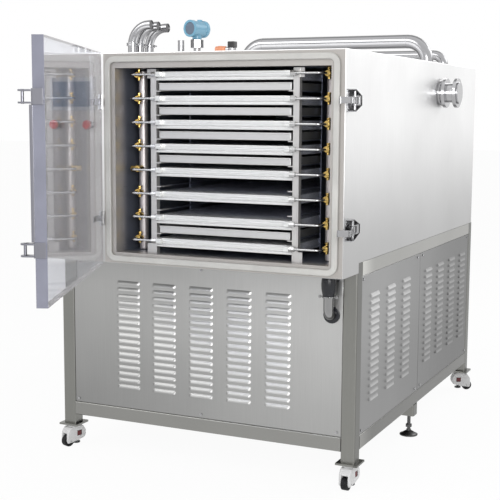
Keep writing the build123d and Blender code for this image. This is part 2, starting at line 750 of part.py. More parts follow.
def build_port():
    """Blanked side port: two flanges, the neck between them and the clamp claws."""
    x = CASING_HALF_WIDTH
    port = rod((x, PORT_Y, PORT_Z), 45, PORT_END - x, "X")
    port += rod((x, PORT_Y, PORT_Z), 60, 5, "X")
    port += rod((x + 14, PORT_Y, PORT_Z), 69, 16, "X")
    port += rod((PORT_END - 18, PORT_Y, PORT_Z), 69, 16, "X")
    port += rod((PORT_END - 2, PORT_Y, PORT_Z), 52, 8, "X")
    add("side_port", port)


# ---- casters and levelling feet ----------------------------------------------------


def caster_housing():
    """Swivelling body drawn round the kingpin, with the wheel trailing towards -Y."""
    outline = [(-48, 16), (-52, 30), (-50, 66), (-34, 88), (34, 88), (48, 66), (48, 44)]
    outline += [(40, 32), (0, 22)]
    side = make_face(Plane.YZ * Polyline(*outline, close=True))
    body = extrude(side, amount=25, both=True)
    body += rod((0, 0, 84), 31, 14)
    body -= block((-15, 15), (-80, -4), (-1, 62))
    body -= rod((0, PAD_SHIFT, 0), 20, 40)
    body -= rod((0, PAD_SHIFT, DIAL_Z - 12), 28, 24)
    body -= rod((0, PAD_SHIFT, 38), STUD_R + PIN_FIT, 36)
    body -= rod((0, 0, 79), KINGPIN_R + PIN_FIT, 30)
    axle = rod((-25, -WHEEL_TRAIL, WHEEL_R), 4, 50, "X")
    return body + axle


def caster_wheel():
    wheel = rod((-WHEEL_WIDTH / 2, -WHEEL_TRAIL, WHEEL_R), WHEEL_R, WHEEL_WIDTH, "X")
    wheel = chamfer(wheel.edges().filter_by(GeomType.CIRCLE), 3)
    for x in (-WHEEL_WIDTH / 2 - 1, WHEEL_WIDTH / 2 - 3):
        wheel -= rod((x, -WHEEL_TRAIL, WHEEL_R), 17, 4, "X") - rod(
            (x, -WHEEL_TRAIL, WHEEL_R), 8, 4, "X"
        )
    return wheel - rod((-20, -WHEEL_TRAIL, WHEEL_R), 4 + PIN_FIT, 40, "X")


def caster_dial():
    dial = rod((0, PAD_SHIFT, DIAL_Z - 10), 26, 20)
    return dial - rod((0, PAD_SHIFT, DIAL_Z - 15), STUD_R + PIN_FIT, 30)


def caster_pad():
    return rod((0, PAD_SHIFT, PAD_REST), 17, 8) + rod((0, PAD_SHIFT, PAD_REST), STUD_R, 64)


def build_casters():
    makers = {
        "": caster_housing,
        "_wheel": caster_wheel,
        "_dial": caster_dial,
        "_pad": caster_pad,
    }
    for place, turn in CASTER_TURNS.items():
        x = -CASTER_X if place.endswith("left") else CASTER_X
        y = BASE_FRONT + TUBE / 2 if place.startswith("front") else BASE_BACK - TUBE / 2
        for ending, maker in makers.items():
            add(f"caster_{place}{ending}", Pos(x, y, FLOOR_Z) * Rot(0, 0, -turn) * maker())


def levelling_foot(x):
    """Threaded stud, jam nut and round pad under a side rail."""
    section = [(0, 0), (42, 0), (42, 6), (14, 20), (11, 26), (0, 26)]
    pad = revolve(make_face(Plane.XZ * Polyline(*section, close=True)), axis=Axis.Z)
    foot = pad + rod((0, 0, 0), 8, 131) + hex_bar((0, 0, 38), 26, 14)
    return Pos(x, SUPPORT_Y, FLOOR_Z) * foot


def build_feet():
    add("levelling_foot_left", levelling_foot(-SUPPORT_X))
    add("levelling_foot_right", levelling_foot(SUPPORT_X))


# ---- machinery inside --------------------------------------------------------------


def build_machinery():
    low = BOTTOM_RAIL_TOP
    compressor = block((-420, 60), (490, 850), (low, low + 12))
    compressor += rod((-400, 670, low + 140), 118, 420, "X")
    compressor += block((-260, -60), (590, 750), (low + 230, low + 320))
    compressor += block((-400, 0), (600, 740), (low + 12, low + 60))
    add("compressor", compressor)

    pump = block((-420, 120), (1270, 1670), (low, low + 12))
    pump += block((-380, -120), (1350, 1590), (low + 12, low + 300))
    pump += rod((-120, 1470, low + 150), 95, 220, "X")
    add("vacuum_pump", pump)

    coil_y = 1700.0
    coil = block((-560, 480), (coil_y, coil_y + 80), (low, low + 560))
    for k in range(17):
        gap = (-550 + k * 60, -510 + k * 60)
        coil -= block(gap, (coil_y - 1, coil_y + 20), (low + 20, low + 540))
    shroud = block((-560, 480), (coil_y + 80, coil_y + 150), (low, low + 560))
    shroud -= block((-558, 478), (coil_y + 79, coil_y + 148), (low + 2, low + 558))
    shroud -= rod((-40, coil_y + 140, low + 280), 210, 20, "Y")
    mount = rod((-40, coil_y + 80, low + 280), 30, 30, "Y")
    add("condenser", coil + shroud + mount)

    hub = rod((-40, coil_y + 110 + RUN_GAP, low + 280), 45, 36, "Y")
    blade = Pos(0, 0, 118) * Rot(0, 0, 25) * Box(90, 4, 160)
    centre = Pos(-40, coil_y + 128, low + 280)
    fan = hub
    for k in range(4):
        fan += centre * Rot(0, 90 * k, 0) * blade
    add("condenser_fan", fan)

    plates = []
    x = (CHAMBER_LEFT + 20, CHAMBER_RIGHT - 20)
    z = (CHAMBER_FLOOR, CHAMBER_CEILING - 30)
    for k in range(4):
        y = SHELF_BACK + 60 + k * 55
        plates.append(block(x, (y, y + 16), z))
    add("ice_condenser_plates", *plates)


# ---- export ------------------------------------------------------------------------


def footprint_middle():
    """Middle of the whole machine's footprint, to the nearest millimetre."""
    boxes = [solid.bounding_box() for solids in nodes.values() for solid in solids]
    mid_x = (min(b.min.X for b in boxes) + max(b.max.X for b in boxes)) / 2
    mid_y = (min(b.min.Y for b in boxes) + max(b.max.Y for b in boxes)) / 2
    return round(mid_x), round(mid_y)


def export_nodes():
    """Moves the machine so that its footprint's middle is the origin, and writes it."""
    mid_x, mid_y = footprint_middle()
    shift = Location((-mid_x, -mid_y, -FLOOR_Z))
    os.makedirs("parts", exist_ok=True)
    for name, solids in nodes.items():
        moved = [solid.moved(shift) for solid in solids]
        shape = moved[0] if len(moved) == 1 else Compound(children=moved)
        export_step(shape, f"parts/{name}.step")
    print("nodes", len(nodes), "shift", shift.position)


build_frame()
build_panels()
build_screws()
build_casing()
build_chamber()
build_gasket()
build_rack()
build_shelves()
build_heating()
build_controls()
build_door()
build_latches()
build_drain()
build_roof_fittings()
build_transmitter()
build_air_valve()
build_roof_pipes()
build_port()
build_casters()
build_feet()
build_machinery()
export_nodes()
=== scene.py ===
from math import pi, radians, sin, tan

import bpy
from mathutils import Matrix, Vector


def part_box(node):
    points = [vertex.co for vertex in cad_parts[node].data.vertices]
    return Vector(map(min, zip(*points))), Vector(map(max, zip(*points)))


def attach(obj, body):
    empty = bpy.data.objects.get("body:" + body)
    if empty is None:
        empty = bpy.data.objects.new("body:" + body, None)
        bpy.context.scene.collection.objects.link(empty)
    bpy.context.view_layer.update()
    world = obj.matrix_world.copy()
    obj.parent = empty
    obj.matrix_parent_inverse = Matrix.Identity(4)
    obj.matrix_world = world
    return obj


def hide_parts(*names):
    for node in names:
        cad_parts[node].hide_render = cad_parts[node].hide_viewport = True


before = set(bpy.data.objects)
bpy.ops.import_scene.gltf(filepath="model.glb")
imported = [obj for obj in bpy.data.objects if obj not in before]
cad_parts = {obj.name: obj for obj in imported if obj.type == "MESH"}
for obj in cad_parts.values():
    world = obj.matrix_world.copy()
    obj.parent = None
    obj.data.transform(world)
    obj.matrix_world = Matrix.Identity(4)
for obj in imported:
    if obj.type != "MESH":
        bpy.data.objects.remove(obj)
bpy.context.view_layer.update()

# Sizes below are in millimetres, in the machine's own layout: X = 0 at the middle of the
# base, Y = 0 at the front of the casing, and the underside of the base rails at RAIL_Z.
MM = 0.001
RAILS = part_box("base_rails")
RAIL_Z = 164.0
FLOOR = 14.0
MIDDLE_X = (RAILS[0].x + RAILS[1].x) / 2
FRONT_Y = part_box("vacuum_chamber")[0].y
LIFT = RAILS[0].z - RAIL_Z * MM


def at(x, y, z):
    """A point of the machine's layout, in metres in the row frame."""
    return Vector((MIDDLE_X + x * MM, FRONT_Y + y * MM, LIFT + z * MM))


def layout_box(node):
    """A CAD node's (x, y, z) pairs of low and high, in the machine's layout."""
    low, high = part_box(node)
    return (
        ((low.x - MIDDLE_X) / MM, (high.x - MIDDLE_X) / MM),
        ((low.y - FRONT_Y) / MM, (high.y - FRONT_Y) / MM),
        ((low.z - LIFT) / MM, (high.z - LIFT) / MM),
    )


# ---- modelling helpers -------------------------------------------------------------


def select_only(*objects):
    """Selects these objects, the first one active."""
    bpy.ops.object.select_all(action="DESELECT")
    for obj in objects:
        obj.select_set(True)
    bpy.context.view_layer.objects.active = objects[0]


def keep_place(obj):
    """Puts the object's place, turn and scale into its mesh."""
    select_only(obj)
    bpy.ops.object.transform_apply(location=True, rotation=True, scale=True)
    return obj


def box(x, y, z):
    """A cuboid between three (low, high) pairs."""
    bpy.ops.object.select_all(action="DESELECT")
    middle = at(sum(x) / 2, sum(y) / 2, sum(z) / 2)
    bpy.ops.mesh.primitive_cube_add(size=1, location=middle)
    obj = bpy.context.object
    obj.scale = ((x[1] - x[0]) * MM, (y[1] - y[0]) * MM, (z[1] - z[0]) * MM)
    return keep_place(obj)


TURNS = {"Z": (0, 0, 0), "X": (0, pi / 2, 0), "Y": (-pi / 2, 0, 0)}
STEPS = {"X": (1, 0, 0), "Y": (0, 1, 0), "Z": (0, 0, 1)}


def rod(point, radius, length, axis="Z", sides=32, top=None):
    """A round bar, or a cone where top gives its far radius, from point towards +axis."""
    bpy.ops.object.select_all(action="DESELECT")
    step = STEPS[axis]
    middle = at(*[p + s * length / 2 for p, s in zip(point, step)])
    bpy.ops.mesh.primitive_cone_add(
        vertices=sides,
        radius1=radius * MM,
        radius2=(radius if top is None else top) * MM,
        depth=length * MM,
        location=middle,
        rotation=TURNS[axis],
    )
    return keep_place(bpy.context.object)


def prism(outline, axis, low, high):
    """A solid with its outline in the other two axes, running from low to high."""
    bpy.ops.object.select_all(action="DESELECT")
    bpy.ops.mesh.primitive_circle_add(vertices=len(outline), radius=1, fill_type="NGON")
    obj = bpy.context.object
    for vertex, (a, b) in zip(obj.data.vertices, outline):
        vertex.co = at(*{"X": (low, a, b), "Y": (a, low, b), "Z": (a, b, low)}[axis])
    choose(obj, "FACE", lambda c, n: True)
    push(*[step * (high - low) for step in STEPS[axis]])
    bpy.ops.mesh.select_all(action="SELECT")
    bpy.ops.mesh.normals_make_consistent(inside=False)
    done_editing()
    return obj


def modify(obj, kind, **settings):
    """Adds one modifier with these settings and applies it."""
    select_only(obj)
    modifier = obj.modifiers.new("finish", kind)
    for name, value in settings.items():
        setattr(modifier, name, value)
    bpy.ops.object.modifier_apply(modifier=modifier.name)
    return obj


def rounded(obj, width, segments=2, angle=35):
    """Bevels every edge sharper than angle."""
    return modify(
        obj,
        "BEVEL",
        width=width * MM,
        segments=segments,
        limit_method="ANGLE",
        angle_limit=radians(angle),
        harden_normals=False,
    )


def soft_rod(soft, point, radius, length, axis="Z", sides=32, steps=2):
    """A rod with its sharp edges rounded by soft."""
    return rounded(rod(point, radius, length, axis, sides), soft, steps)


def joined(*objects):
    """One object made of these, the first one's place and name kept."""
    select_only(*objects)
    if len(objects) > 1:
        bpy.ops.object.join()
    return bpy.context.object


def cut(obj, tool):
    """Cuts tool out of obj and deletes tool."""
    modify(obj, "BOOLEAN", operation="DIFFERENCE", object=tool, solver="EXACT")
    bpy.data.objects.remove(tool)
    return obj


def copied(obj):
    """A copy with its own mesh."""
    other = obj.copy()
    other.data = obj.data.copy()
    bpy.context.collection.objects.link(other)
    return other


def moved(obj, offset):
    """Moves the mesh by offset in millimetres."""
    obj.data.transform(Matrix.Translation(Vector(offset) * MM))
    return obj


def turned(obj, degrees, point, axis="Z"):
    """Turns the mesh about an axis through a layout point."""
    centre = at(*point)
    turn = Matrix.Rotation(radians(degrees), 4, axis)
    obj.data.transform(Matrix.Translation(centre) @ turn @ Matrix.Translation(-centre))
    return obj


def push(x, y, z):
    """Extrudes the selected faces or edges by this step."""
    step = (x * MM, y * MM, z * MM)
    bpy.ops.mesh.extrude_region_move(TRANSFORM_OT_translate={"value": step})


def choose(obj, kind, test):
    """Goes into edit mode with the faces or edges selected whose middle passes test."""
    select_only(obj)
    bpy.ops.object.mode_set(mode="EDIT")
    bpy.ops.mesh.select_mode(type=kind)
    bpy.ops.mesh.select_all(action="DESELECT")
    bpy.ops.object.mode_set(mode="OBJECT")
    mesh = obj.data
    if kind == "FACE":
        for face in mesh.polygons:
            face.select = test(face.center, face.normal)
    else:
        for edge in mesh.edges:
            ends = [mesh.vertices[k].co for k in edge.vertices]
            edge.select = test(*ends)
    bpy.ops.object.mode_set(mode="EDIT")


def done_editing():
    bpy.ops.object.mode_set(mode="OBJECT")


def arc_points(points, radius, steps=8):
    """Layout points along straight runs with each inner corner rounded to radius."""
    path = [Vector(points[0])]
    for k in range(1, len(points) - 1):
        corner = Vector(points[k])
        back = (Vector(points[k - 1]) - corner).normalized()
        ahead = (Vector(points[k + 1]) - corner).normalized()
        half = back.angle(ahead) / 2
        centre = corner + (back + ahead).normalized() * (radius / sin(half))
        first = corner + back * (radius / tan(half)) - centre
        last = corner + ahead * (radius / tan(half)) - centre
        sweep = first.angle(last)
        for step in range(steps + 1):
            share = step / steps
            spoke = first * sin((1 - share) * sweep) + last * sin(share * sweep)
            path.append(centre + spoke / sin(sweep))
    path.append(Vector(points[-1]))
    return path


def tube(points, corner, radius, sides=5, bore=0.0):
    """A bent round tube; with a bore, its radius, the ends are left open."""
    curve = bpy.data.curves.new("tube", "CURVE")
    curve.dimensions = "3D"
    spline = curve.splines.new("POLY")
    path = arc_points(points, corner)
    spline.points.add(len(path) - 1)
    for point, place in zip(spline.points, path):
        point.co = (*at(*place), 1)
    curve.bevel_depth = radius * MM
    curve.bevel_resolution = sides
    curve.use_fill_caps = not bore
    obj = bpy.data.objects.new("tube", curve)
    bpy.context.collection.objects.link(obj)
    select_only(obj)
    bpy.ops.object.convert(target="MESH")
    obj = bpy.context.object
    if bore:
        modify(obj, "SOLIDIFY", thickness=(radius - bore) * MM, offset=-1)
    return obj


SHARP_ANGLE = 40
FLAT_WEIGHT = 80


def finish_piece(obj, name, body, slot, material, *nodes):
    """Names the piece, gives it its finish and lets it ride on its body.  The big flat
    faces outweigh the bevels round them, so that they mirror and refract truly."""
    obj.name = name
    obj.data.name = name
    select_only(obj)
    bpy.ops.object.shade_smooth_by_angle(angle=radians(SHARP_ANGLE))
    modify(obj, "WEIGHTED_NORMAL", weight=FLAT_WEIGHT, keep_sharp=True)
    obj.data.materials.clear()
    obj.data.materials.append(material)
    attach(obj, body)
    if nodes:
        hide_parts(*nodes)
    return obj


def fit(parts, name, slot, material, *nodes):
    """Joins parts into a piece that stands still with the cabinet."""
    return finish_piece(joined(*parts), name, "cabinet", slot, material, *nodes)


# ---- materials ---------------------------------------------------------------------


def with_sockets(node, **values):
    """Sets a node's sockets; an underscore stands for the space in a socket's name."""
    for socket, value in values.items():
        node.inputs[socket.replace("_", " ")].default_value = value
    return node


def shader(name, colour, roughness, metallic=0.0, **sockets):
    """A new material; returns it with its node tree and principled shader."""
    material = bpy.data.materials.new(name)
    material.use_nodes = True
    tree = material.node_tree
    bsdf = tree.nodes["Principled BSDF"]
    with_sockets(bsdf, Base_Color=(*colour, 1), Roughness=roughness, Metallic=metallic, **sockets)
    return material, tree, bsdf


def object_noise(tree, scale, stretch=(1, 1, 1), detail=4.0):
    """Noise on object coordinates, stretched; returns its value socket."""
    coords = tree.nodes.new("ShaderNodeTexCoord")
    mapping = with_sockets(tree.nodes.new("ShaderNodeMapping"), Scale=stretch)
    noise = tree.nodes.new("ShaderNodeTexNoise")
    with_sockets(noise, Scale=scale, Detail=detail, Roughness=0.55)
    tree.links.new(coords.outputs["Object"], mapping.inputs["Vector"])
    tree.links.new(mapping.outputs["Vector"], noise.inputs["Vector"])
    return noise.outputs["Fac"]


def between(tree, source, low, high):
    """Maps a 0..1 socket to low..high."""
    node = with_sockets(tree.nodes.new("ShaderNodeMapRange"), To_Min=low, To_Max=high)
    tree.links.new(source, node.inputs["Value"])
    return node.outputs["Result"]


def tinted(tree, source, dark, light):
    """Mixes two colours by a 0..1 socket."""
    ramp = tree.nodes.new("ShaderNodeValToRGB")
    for stop, place, colour in zip(ramp.color_ramp.elements, (0.3, 0.7), (dark, light)):
        stop.position = place
        stop.color = (*colour, 1)
    tree.links.new(source, ramp.inputs["Fac"])
    return ramp.outputs["Color"]


def bump(tree, bsdf, source, strength, distance=0.0004):
    """Raises a 0..1 socket as fine relief."""
    node = with_sockets(tree.nodes.new("ShaderNodeBump"), Strength=strength, Distance=distance)
    tree.links.new(source, node.inputs["Height"])
    tree.links.new(node.outputs["Normal"], bsdf.inputs["Normal"])


def times(colour, factor):
    """A colour made lighter or darker, never past white."""
    return tuple(min(1.0, channel * factor) for channel in colour)


def graded(tree, axis, low, high, low_value, high_value):
    """A value that changes smoothly between two places on an axis."""
    coords = tree.nodes.new("ShaderNodeTexCoord")
    parts = tree.nodes.new("ShaderNodeSeparateXYZ")
    ramp = tree.nodes.new("ShaderNodeMapRange")
    ramp.interpolation_type = "SMOOTHSTEP"
    with_sockets(ramp, From_Min=low, From_Max=high, To_Min=low_value, To_Max=high_value)
    tree.links.new(coords.outputs["Object"], parts.inputs["Vector"])
    tree.links.new(parts.outputs[axis], ramp.inputs["Value"])
    return ramp.outputs["Result"]


def brushed_steel(name, colour, roughness, along, painted_shading=(), metallic=1.0, painted_deep_shade=None, fleck=0.09):
    """Brushed sheet: fine streaks along one axis, soft clouds and painted light and shade:
    tones that change along axes as (axis, low place, low factor, high place, high factor),
    and painted shade as another colour behind a depth, as (colour, start, end).  Places are
    in metres of the row frame; two that are close together pick out a face or a fold."""
    material, tree, bsdf = shader(name, colour, roughness, metallic)
    fine = {"X": (2, 260, 260), "Y": (260, 2, 260), "Z": (260, 260, 2)}[along]
    streaks = object_noise(tree, 3.0, fine, 3.0)
    clouds = object_noise(tree, 1.7, (1, 1, 1), 3.0)
    mixed = tree.nodes.new("ShaderNodeMix")
    mixed.inputs["Factor"].default_value = 0.55
    tree.links.new(streaks, mixed.inputs["A"])
    tree.links.new(clouds, mixed.inputs["B"])
    colour_out = tinted(tree, mixed.outputs["Result"], times(colour, 1 - fleck), times(colour, 1 + fleck))
    # Painted light and shade: the colour is scaled up or down along each axis.
    for axis, low, low_factor, high, high_factor in painted_shading:
        scale = tree.nodes.new("ShaderNodeVectorMath")
        scale.operation = "SCALE"
        tree.links.new(colour_out, scale.inputs[0])
        factor = graded(tree, axis, low, high, low_factor, high_factor)
        tree.links.new(factor, scale.inputs["Scale"])
        colour_out = scale.outputs["Vector"]
    # Painted shade: a darker colour deep inside the chamber.
    if painted_deep_shade:
        shade_colour, start, end = painted_deep_shade
        blend = tree.nodes.new("ShaderNodeMixRGB")
        blend.inputs["Color2"].default_value = (*shade_colour, 1)
        tree.links.new(colour_out, blend.inputs["Color1"])
        tree.links.new(graded(tree, "Y", start, end, 0.0, 1.0), blend.inputs["Fac"])
        colour_out = blend.outputs["Color"]
    tree.links.new(colour_out, bsdf.inputs["Base Color"])
    rough_out = between(tree, streaks, roughness - 0.07, roughness + 0.09)
    tree.links.new(rough_out, bsdf.inputs["Roughness"])
    bump(tree, bsdf, streaks, 0.12, 0.0002)
    return material


def cast_metal(name, colour, roughness):
    """Polished or cast metal with faint mottling."""
    material, tree, bsdf = shader(name, colour, roughness, 1.0)
    grains = object_noise(tree, 60.0)
    mottled = tinted(tree, grains, times(colour, 0.86), times(colour, 1.1))
    tree.links.new(mottled, bsdf.inputs["Base Color"])
    tree.links.new(between(tree, grains, roughness - 0.06, roughness + 0.1), bsdf.inputs["Roughness"])
    bump(tree, bsdf, grains, 0.08)
    return material


def chrome(name, colour, roughness, dark):
    """Polished metal with painted reflection: its colour falls off in soft light and dark bands
    by how squarely its round sides face the eye; dark is the darkest band's share of the colour."""
    material, tree, bsdf = shader(name, colour, roughness, 1.0)
    # Painted reflection: the colour bands follow the facing of each surface.
    facing = tree.nodes.new("ShaderNodeLayerWeight")
    facing.inputs["Blend"].default_value = 0.5
    ramp = tree.nodes.new("ShaderNodeValToRGB")
    steps = ramp.color_ramp.elements
    for place, share in ((0.30, 1.12), (0.52, dark), (0.74, 1.0)):
        steps.new(place).color = (*times(colour, share), 1)
    steps[0].color = (*times(colour, 0.92), 1)
    steps[-1].color = (*times(colour, dark), 1)
    tree.links.new(facing.outputs["Facing"], ramp.inputs["Fac"])
    tree.links.new(ramp.outputs["Color"], bsdf.inputs["Base Color"])
    patches = object_noise(tree, 5.0)
    tree.links.new(between(tree, patches, roughness - 0.04, roughness + 0.05), bsdf.inputs["Roughness"])
    return material


def moulded(name, colour, roughness, grain=90.0, strength=0.15, **sockets):
    """Moulded plastic, rubber or enamel with a fine grain."""
    material, tree, bsdf = shader(name, colour, roughness, 0.0, **sockets)
    grains = object_noise(tree, grain, detail=6.0)
    patches = object_noise(tree, 6.0)
    blotched = tinted(tree, patches, times(colour, 0.88), times(colour, 1.08))
    tree.links.new(blotched, bsdf.inputs["Base Color"])
    tree.links.new(between(tree, patches, roughness - 0.05, roughness + 0.08), bsdf.inputs["Roughness"])
    bump(tree, bsdf, grains, strength)
    return material


def clear_acrylic():
    """Clear sheet with a faint violet cast and a glossy skin."""
    material, tree, bsdf = shader(
        "clear_acrylic",
        (0.80, 0.81, 0.86),
        0.02,
        0.0,
        Transmission_Weight=0.93,
        IOR=1.02,
        Coat_Weight=0.8,
        Coat_Roughness=0.04,
        Coat_IOR=1.6,
    )
    smears = object_noise(tree, 4.0)
    tree.links.new(between(tree, smears, 0.01, 0.04), bsdf.inputs["Roughness"])
    return material


# Sheet and frame steel, with painted light and shade for the soft light of a room: darker low
# down, the front cover lighter to the right, the side ones darker to the back, hoods lighter
# than both, the posts' side faces darker and the rails lighter at the top and the front.
CASING = brushed_steel(
    "casing_brushed_steel", (0.80, 0.80, 0.80), 0.36, "Z", [("Z", 0.88, 0.60, 1.5, 1.08)]
)
PANEL = brushed_steel(
    "panel_brushed_steel",
    (0.39, 0.39, 0.385),
    0.36,
    "Z",
    [("X", -0.66, 1.0, 0.6, 1.36), ("Z", 0.15, 0.74, 0.75, 1.0), ("Y", -0.3285, 1.06, -0.3225, 1.0)],
)
SIDE_PANEL = brushed_steel(
    "side_panel_brushed_steel",
    (0.29, 0.29, 0.29),
    0.34,
    "Z",
    [("Y", -0.2, 1.1, 1.4, 0.52), ("Z", 0.3, 0.74, 0.75, 1.0), ("X", 0.6455, 1.0, 0.6515, 1.9)],
)
POST_STEEL = brushed_steel("post_steel", (0.245, 0.245, 0.23), 0.34, "Z", [("X", 0.6445, 1.0, 0.6458, 0.6)])
RAIL_STEEL = brushed_steel(
    "rail_steel",
    (0.25, 0.249, 0.238),
    0.34,
    "Y",
    [("Z", 0.3, 0.85, 0.84, 2.0), ("Y", -0.3, 1.35, -0.1, 0.75)],
)
FLANGE = brushed_steel("flange_steel", (0.42, 0.40, 0.38), 0.36, "X")
# The chamber's wall, with painted shade: a dark blue deep inside.
CHAMBER = brushed_steel(
    "chamber_steel", (0.42, 0.40, 0.38), 0.30, "Y", metallic=0.5, painted_deep_shade=((0.16, 0.175, 0.22), -0.49, -0.40)
)
PLATES = brushed_steel("plate_steel", (0.42, 0.43, 0.46), 0.40, "X", metallic=0.3)
# Pipes, fittings and latches, whose light and dark bands are painted reflection.
POLISHED = chrome("polished_steel", (0.42, 0.42, 0.43), 0.14, 0.32)
CAST_STEEL = chrome("cast_steel", (0.44, 0.44, 0.45), 0.22, 0.42)
PORT_STEEL = chrome("port_steel", (0.50, 0.50, 0.51), 0.14, 0.22)
DRAIN_STEEL = chrome("drain_steel", (0.30, 0.30, 0.30), 0.18, 0.40)
TUBE_STEEL = chrome("tube_steel", (0.48, 0.48, 0.48), 0.20, 0.35)
# The chamber's contents, with painted shade: their side faces and deep parts are darker. And the door's
# straps.
RACK_STEEL = brushed_steel(
    "rack_steel", (0.58, 0.57, 0.56), 0.30, "Z", metallic=0.7, painted_deep_shade=((0.17, 0.185, 0.24), -0.42, -0.36)
)
COLUMN_STEEL = brushed_steel("column_steel", (0.58, 0.54, 0.535), 0.34, "Z", metallic=0.7)
STRAP_STEEL = brushed_steel("strap_steel", (0.25, 0.25, 0.28), 0.30, "Z")
SHELF = brushed_steel(
    "shelf_aluminium",
    (0.72, 0.725, 0.715),
    0.26,
    "X",
    [("X", 0.4255, 1.0, 0.4268, 0.28)],
    metallic=0.5,
    painted_deep_shade=((0.62, 0.64, 0.72), -0.46, -0.30),
    fleck=0.035,
)
TRAY = brushed_steel(
    "tray_steel",
    (0.56, 0.56, 0.555),
    0.30,
    "X",
    [("X", 0.416, 1.0, 0.4173, 0.32)],
    metallic=0.5,
    fleck=0.035,
)
# Castings, rubber, plastic and enamel.
BRASS = cast_metal("brass", (0.66, 0.46, 0.15), 0.26)
BLACK_STEEL = cast_metal("black_steel", (0.10, 0.10, 0.10), 0.35)
COIL = cast_metal("coil_fins", (0.55, 0.55, 0.56), 0.40)
GASKET = moulded("silicone_gasket", (0.47, 0.465, 0.445), 0.50, 60.0, 0.08)
RED = moulded("red_plastic", (0.62, 0.03, 0.03), 0.25, 120.0, 0.05)
DIAL_RED = moulded("dial_red", (0.10, 0.010, 0.012), 0.40)
NYLON = moulded("white_nylon", (0.64, 0.64, 0.64), 0.42)
TYRE = moulded("wheel_rubber", (0.008, 0.008, 0.009), 0.6, Specular_IOR_Level=0.25)
BLACK_RUBBER = moulded("black_rubber", (0.010, 0.011, 0.015), 0.24, 50.0, 0.3, Specular_IOR_Level=0.45)
BLACK_PLASTIC = moulded("black_plastic", (0.02, 0.02, 0.02), 0.4)
GREY_PLASTIC = moulded("grey_plastic", (0.42, 0.43, 0.45), 0.4)
BLUE_ENAMEL = moulded("blue_enamel", (0.17, 0.38, 0.52), 0.30, 40.0, 0.2)
ORANGE_ENAMEL = moulded("orange_enamel", (0.75, 0.30, 0.16), 0.35)
MACHINE_ENAMEL = moulded("machine_enamel", (0.04, 0.09, 0.11), 0.35, 30.0, 0.2)
SCREEN_GLASS = moulded("screen_glass", (0.13, 0.17, 0.23), 0.12, 20.0, 0.0)
ACRYLIC = clear_acrylic()
# Painted shade: an opaque dark lavender standing for the clear door's latch edge.
ACRYLIC_EDGE_SHADE = moulded("acrylic_edge_painted_shade", (0.205, 0.21, 0.26), 0.12, 12.0, 0.0)


def dress(material, *nodes):
    """Gives CAD nodes whose shape stays their finish."""
    for node in nodes:
        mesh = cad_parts[node].data
        mesh.materials.clear()
        mesh.materials.append(material)


# ---- base: louvred covers ----------------------------------------------------------

BASE_BOTTOM, BASE_TOP = 224.0, 866.0
SHEET_T = 1.5
FOLD, FOLD_R = 13.0, 2.5
LOUVRE_W, LOUVRE_H, LOUVRE_D, LOUVRE_PITCH = 113.0, 15.0, 7.6, 28.5
LOUVRE_END = 12.0
LIP = 0.8
TOP_LOUVRE = 775.0
FRONT_SPACING, FRONT_ROWS, SIDE_ROWS = 175.0, 17, 16
FRONT_COVER_Y, SIDE_COVER_X = 184.0, 684.0
DRAIN_X, DRAIN_Y, DRAIN_TURN_Z = 580.0, 145.0, 714.0
NEAR = 0.01


def louvre_cover(width, centres, rows, place, turn):
    """One pressed cover: a fine sheet with hoods raised in columns, mouths open below,
    and its four edges folded back.  It is made facing -Y with its corner at place."""
    height = BASE_TOP - BASE_BOTTOM
    ends = [-LIP, 0.0, 1.5, 4.0, 8.0, LOUVRE_END, LOUVRE_END + 1]
    across = ends + [LOUVRE_W / 2] + [LOUVRE_W - e for e in reversed(ends)]
    xs = [0.0] + [c - LOUVRE_W / 2 + a for c in centres for a in across] + [width]
    half = LOUVRE_H / 2
    down = [half + LIP, half, 6.0, 3.0, -2.0, -half, -half - LIP]
    middles = [TOP_LOUVRE - BASE_BOTTOM - k * LOUVRE_PITCH for k in range(rows)]
    zs = sorted([0.0, height] + [m + d for m in middles for d in down])
    bpy.ops.object.select_all(action="DESELECT")
    bpy.ops.mesh.primitive_grid_add(
        x_subdivisions=len(xs) - 1, y_subdivisions=len(zs) - 1, size=1, rotation=(pi / 2, 0, 0)
    )
    sheet = keep_place(bpy.context.object)
    hood_x = [(c - LOUVRE_W / 2, c + LOUVRE_W / 2) for c in centres]

    def raised(x, z):
        inside = [min(x - a, b - x) for a, b in hood_x if a - NEAR <= x <= b + NEAR]
        near = [z - m for m in middles if abs(z - m) <= half + NEAR]
        if not inside or not near:
            return 0.0
        side = min(1.0, max(0.0, inside[0]) / LOUVRE_END)
        fall = (half - near[0]) / LOUVRE_H
        return LOUVRE_D * sin(side * pi / 2) * sin(fall * pi / 2)

    for vertex in sheet.data.vertices:
        column = round((vertex.co.x + 0.5) * (len(xs) - 1))
        row = round((vertex.co.z + 0.5) * (len(zs) - 1))
        x, z = xs[column], zs[row]
        vertex.co = (x * MM, -raised(x, z) * MM, z * MM)
    mouth = [m - half - LIP / 2 for m in middles]

    def is_mouth(centre, normal):
        x, z = centre.x / MM, centre.z / MM
        return any(a < x < b for a, b in hood_x) and any(abs(z - m) < 0.35 for m in mouth)

    choose(sheet, "FACE", is_mouth)
    bpy.ops.mesh.delete(type="FACE")
    done_editing()

    def on_rim(a, b):
        for k, far in ((0, width * MM), (2, height * MM)):
            for edge in (0.0, far):
                if abs(a[k] - edge) < 1e-5 and abs(b[k] - edge) < 1e-5:
                    return True
        return False

    choose(sheet, "EDGE", on_rim)
    push(0, FOLD, 0)
    done_editing()
    choose(sheet, "EDGE", lambda a, b: on_rim(a, b) and max(abs(a.y), abs(b.y)) < 1e-6)
    bpy.ops.mesh.bevel(offset=FOLD_R * MM, segments=3, affect="EDGES")
    done_editing()
    modify(sheet, "SOLIDIFY", thickness=SHEET_T * MM, offset=-1)
    sheet.data.transform(Matrix.Translation(at(*place)) @ Matrix.Rotation(radians(turn), 4, "Z"))
    return sheet


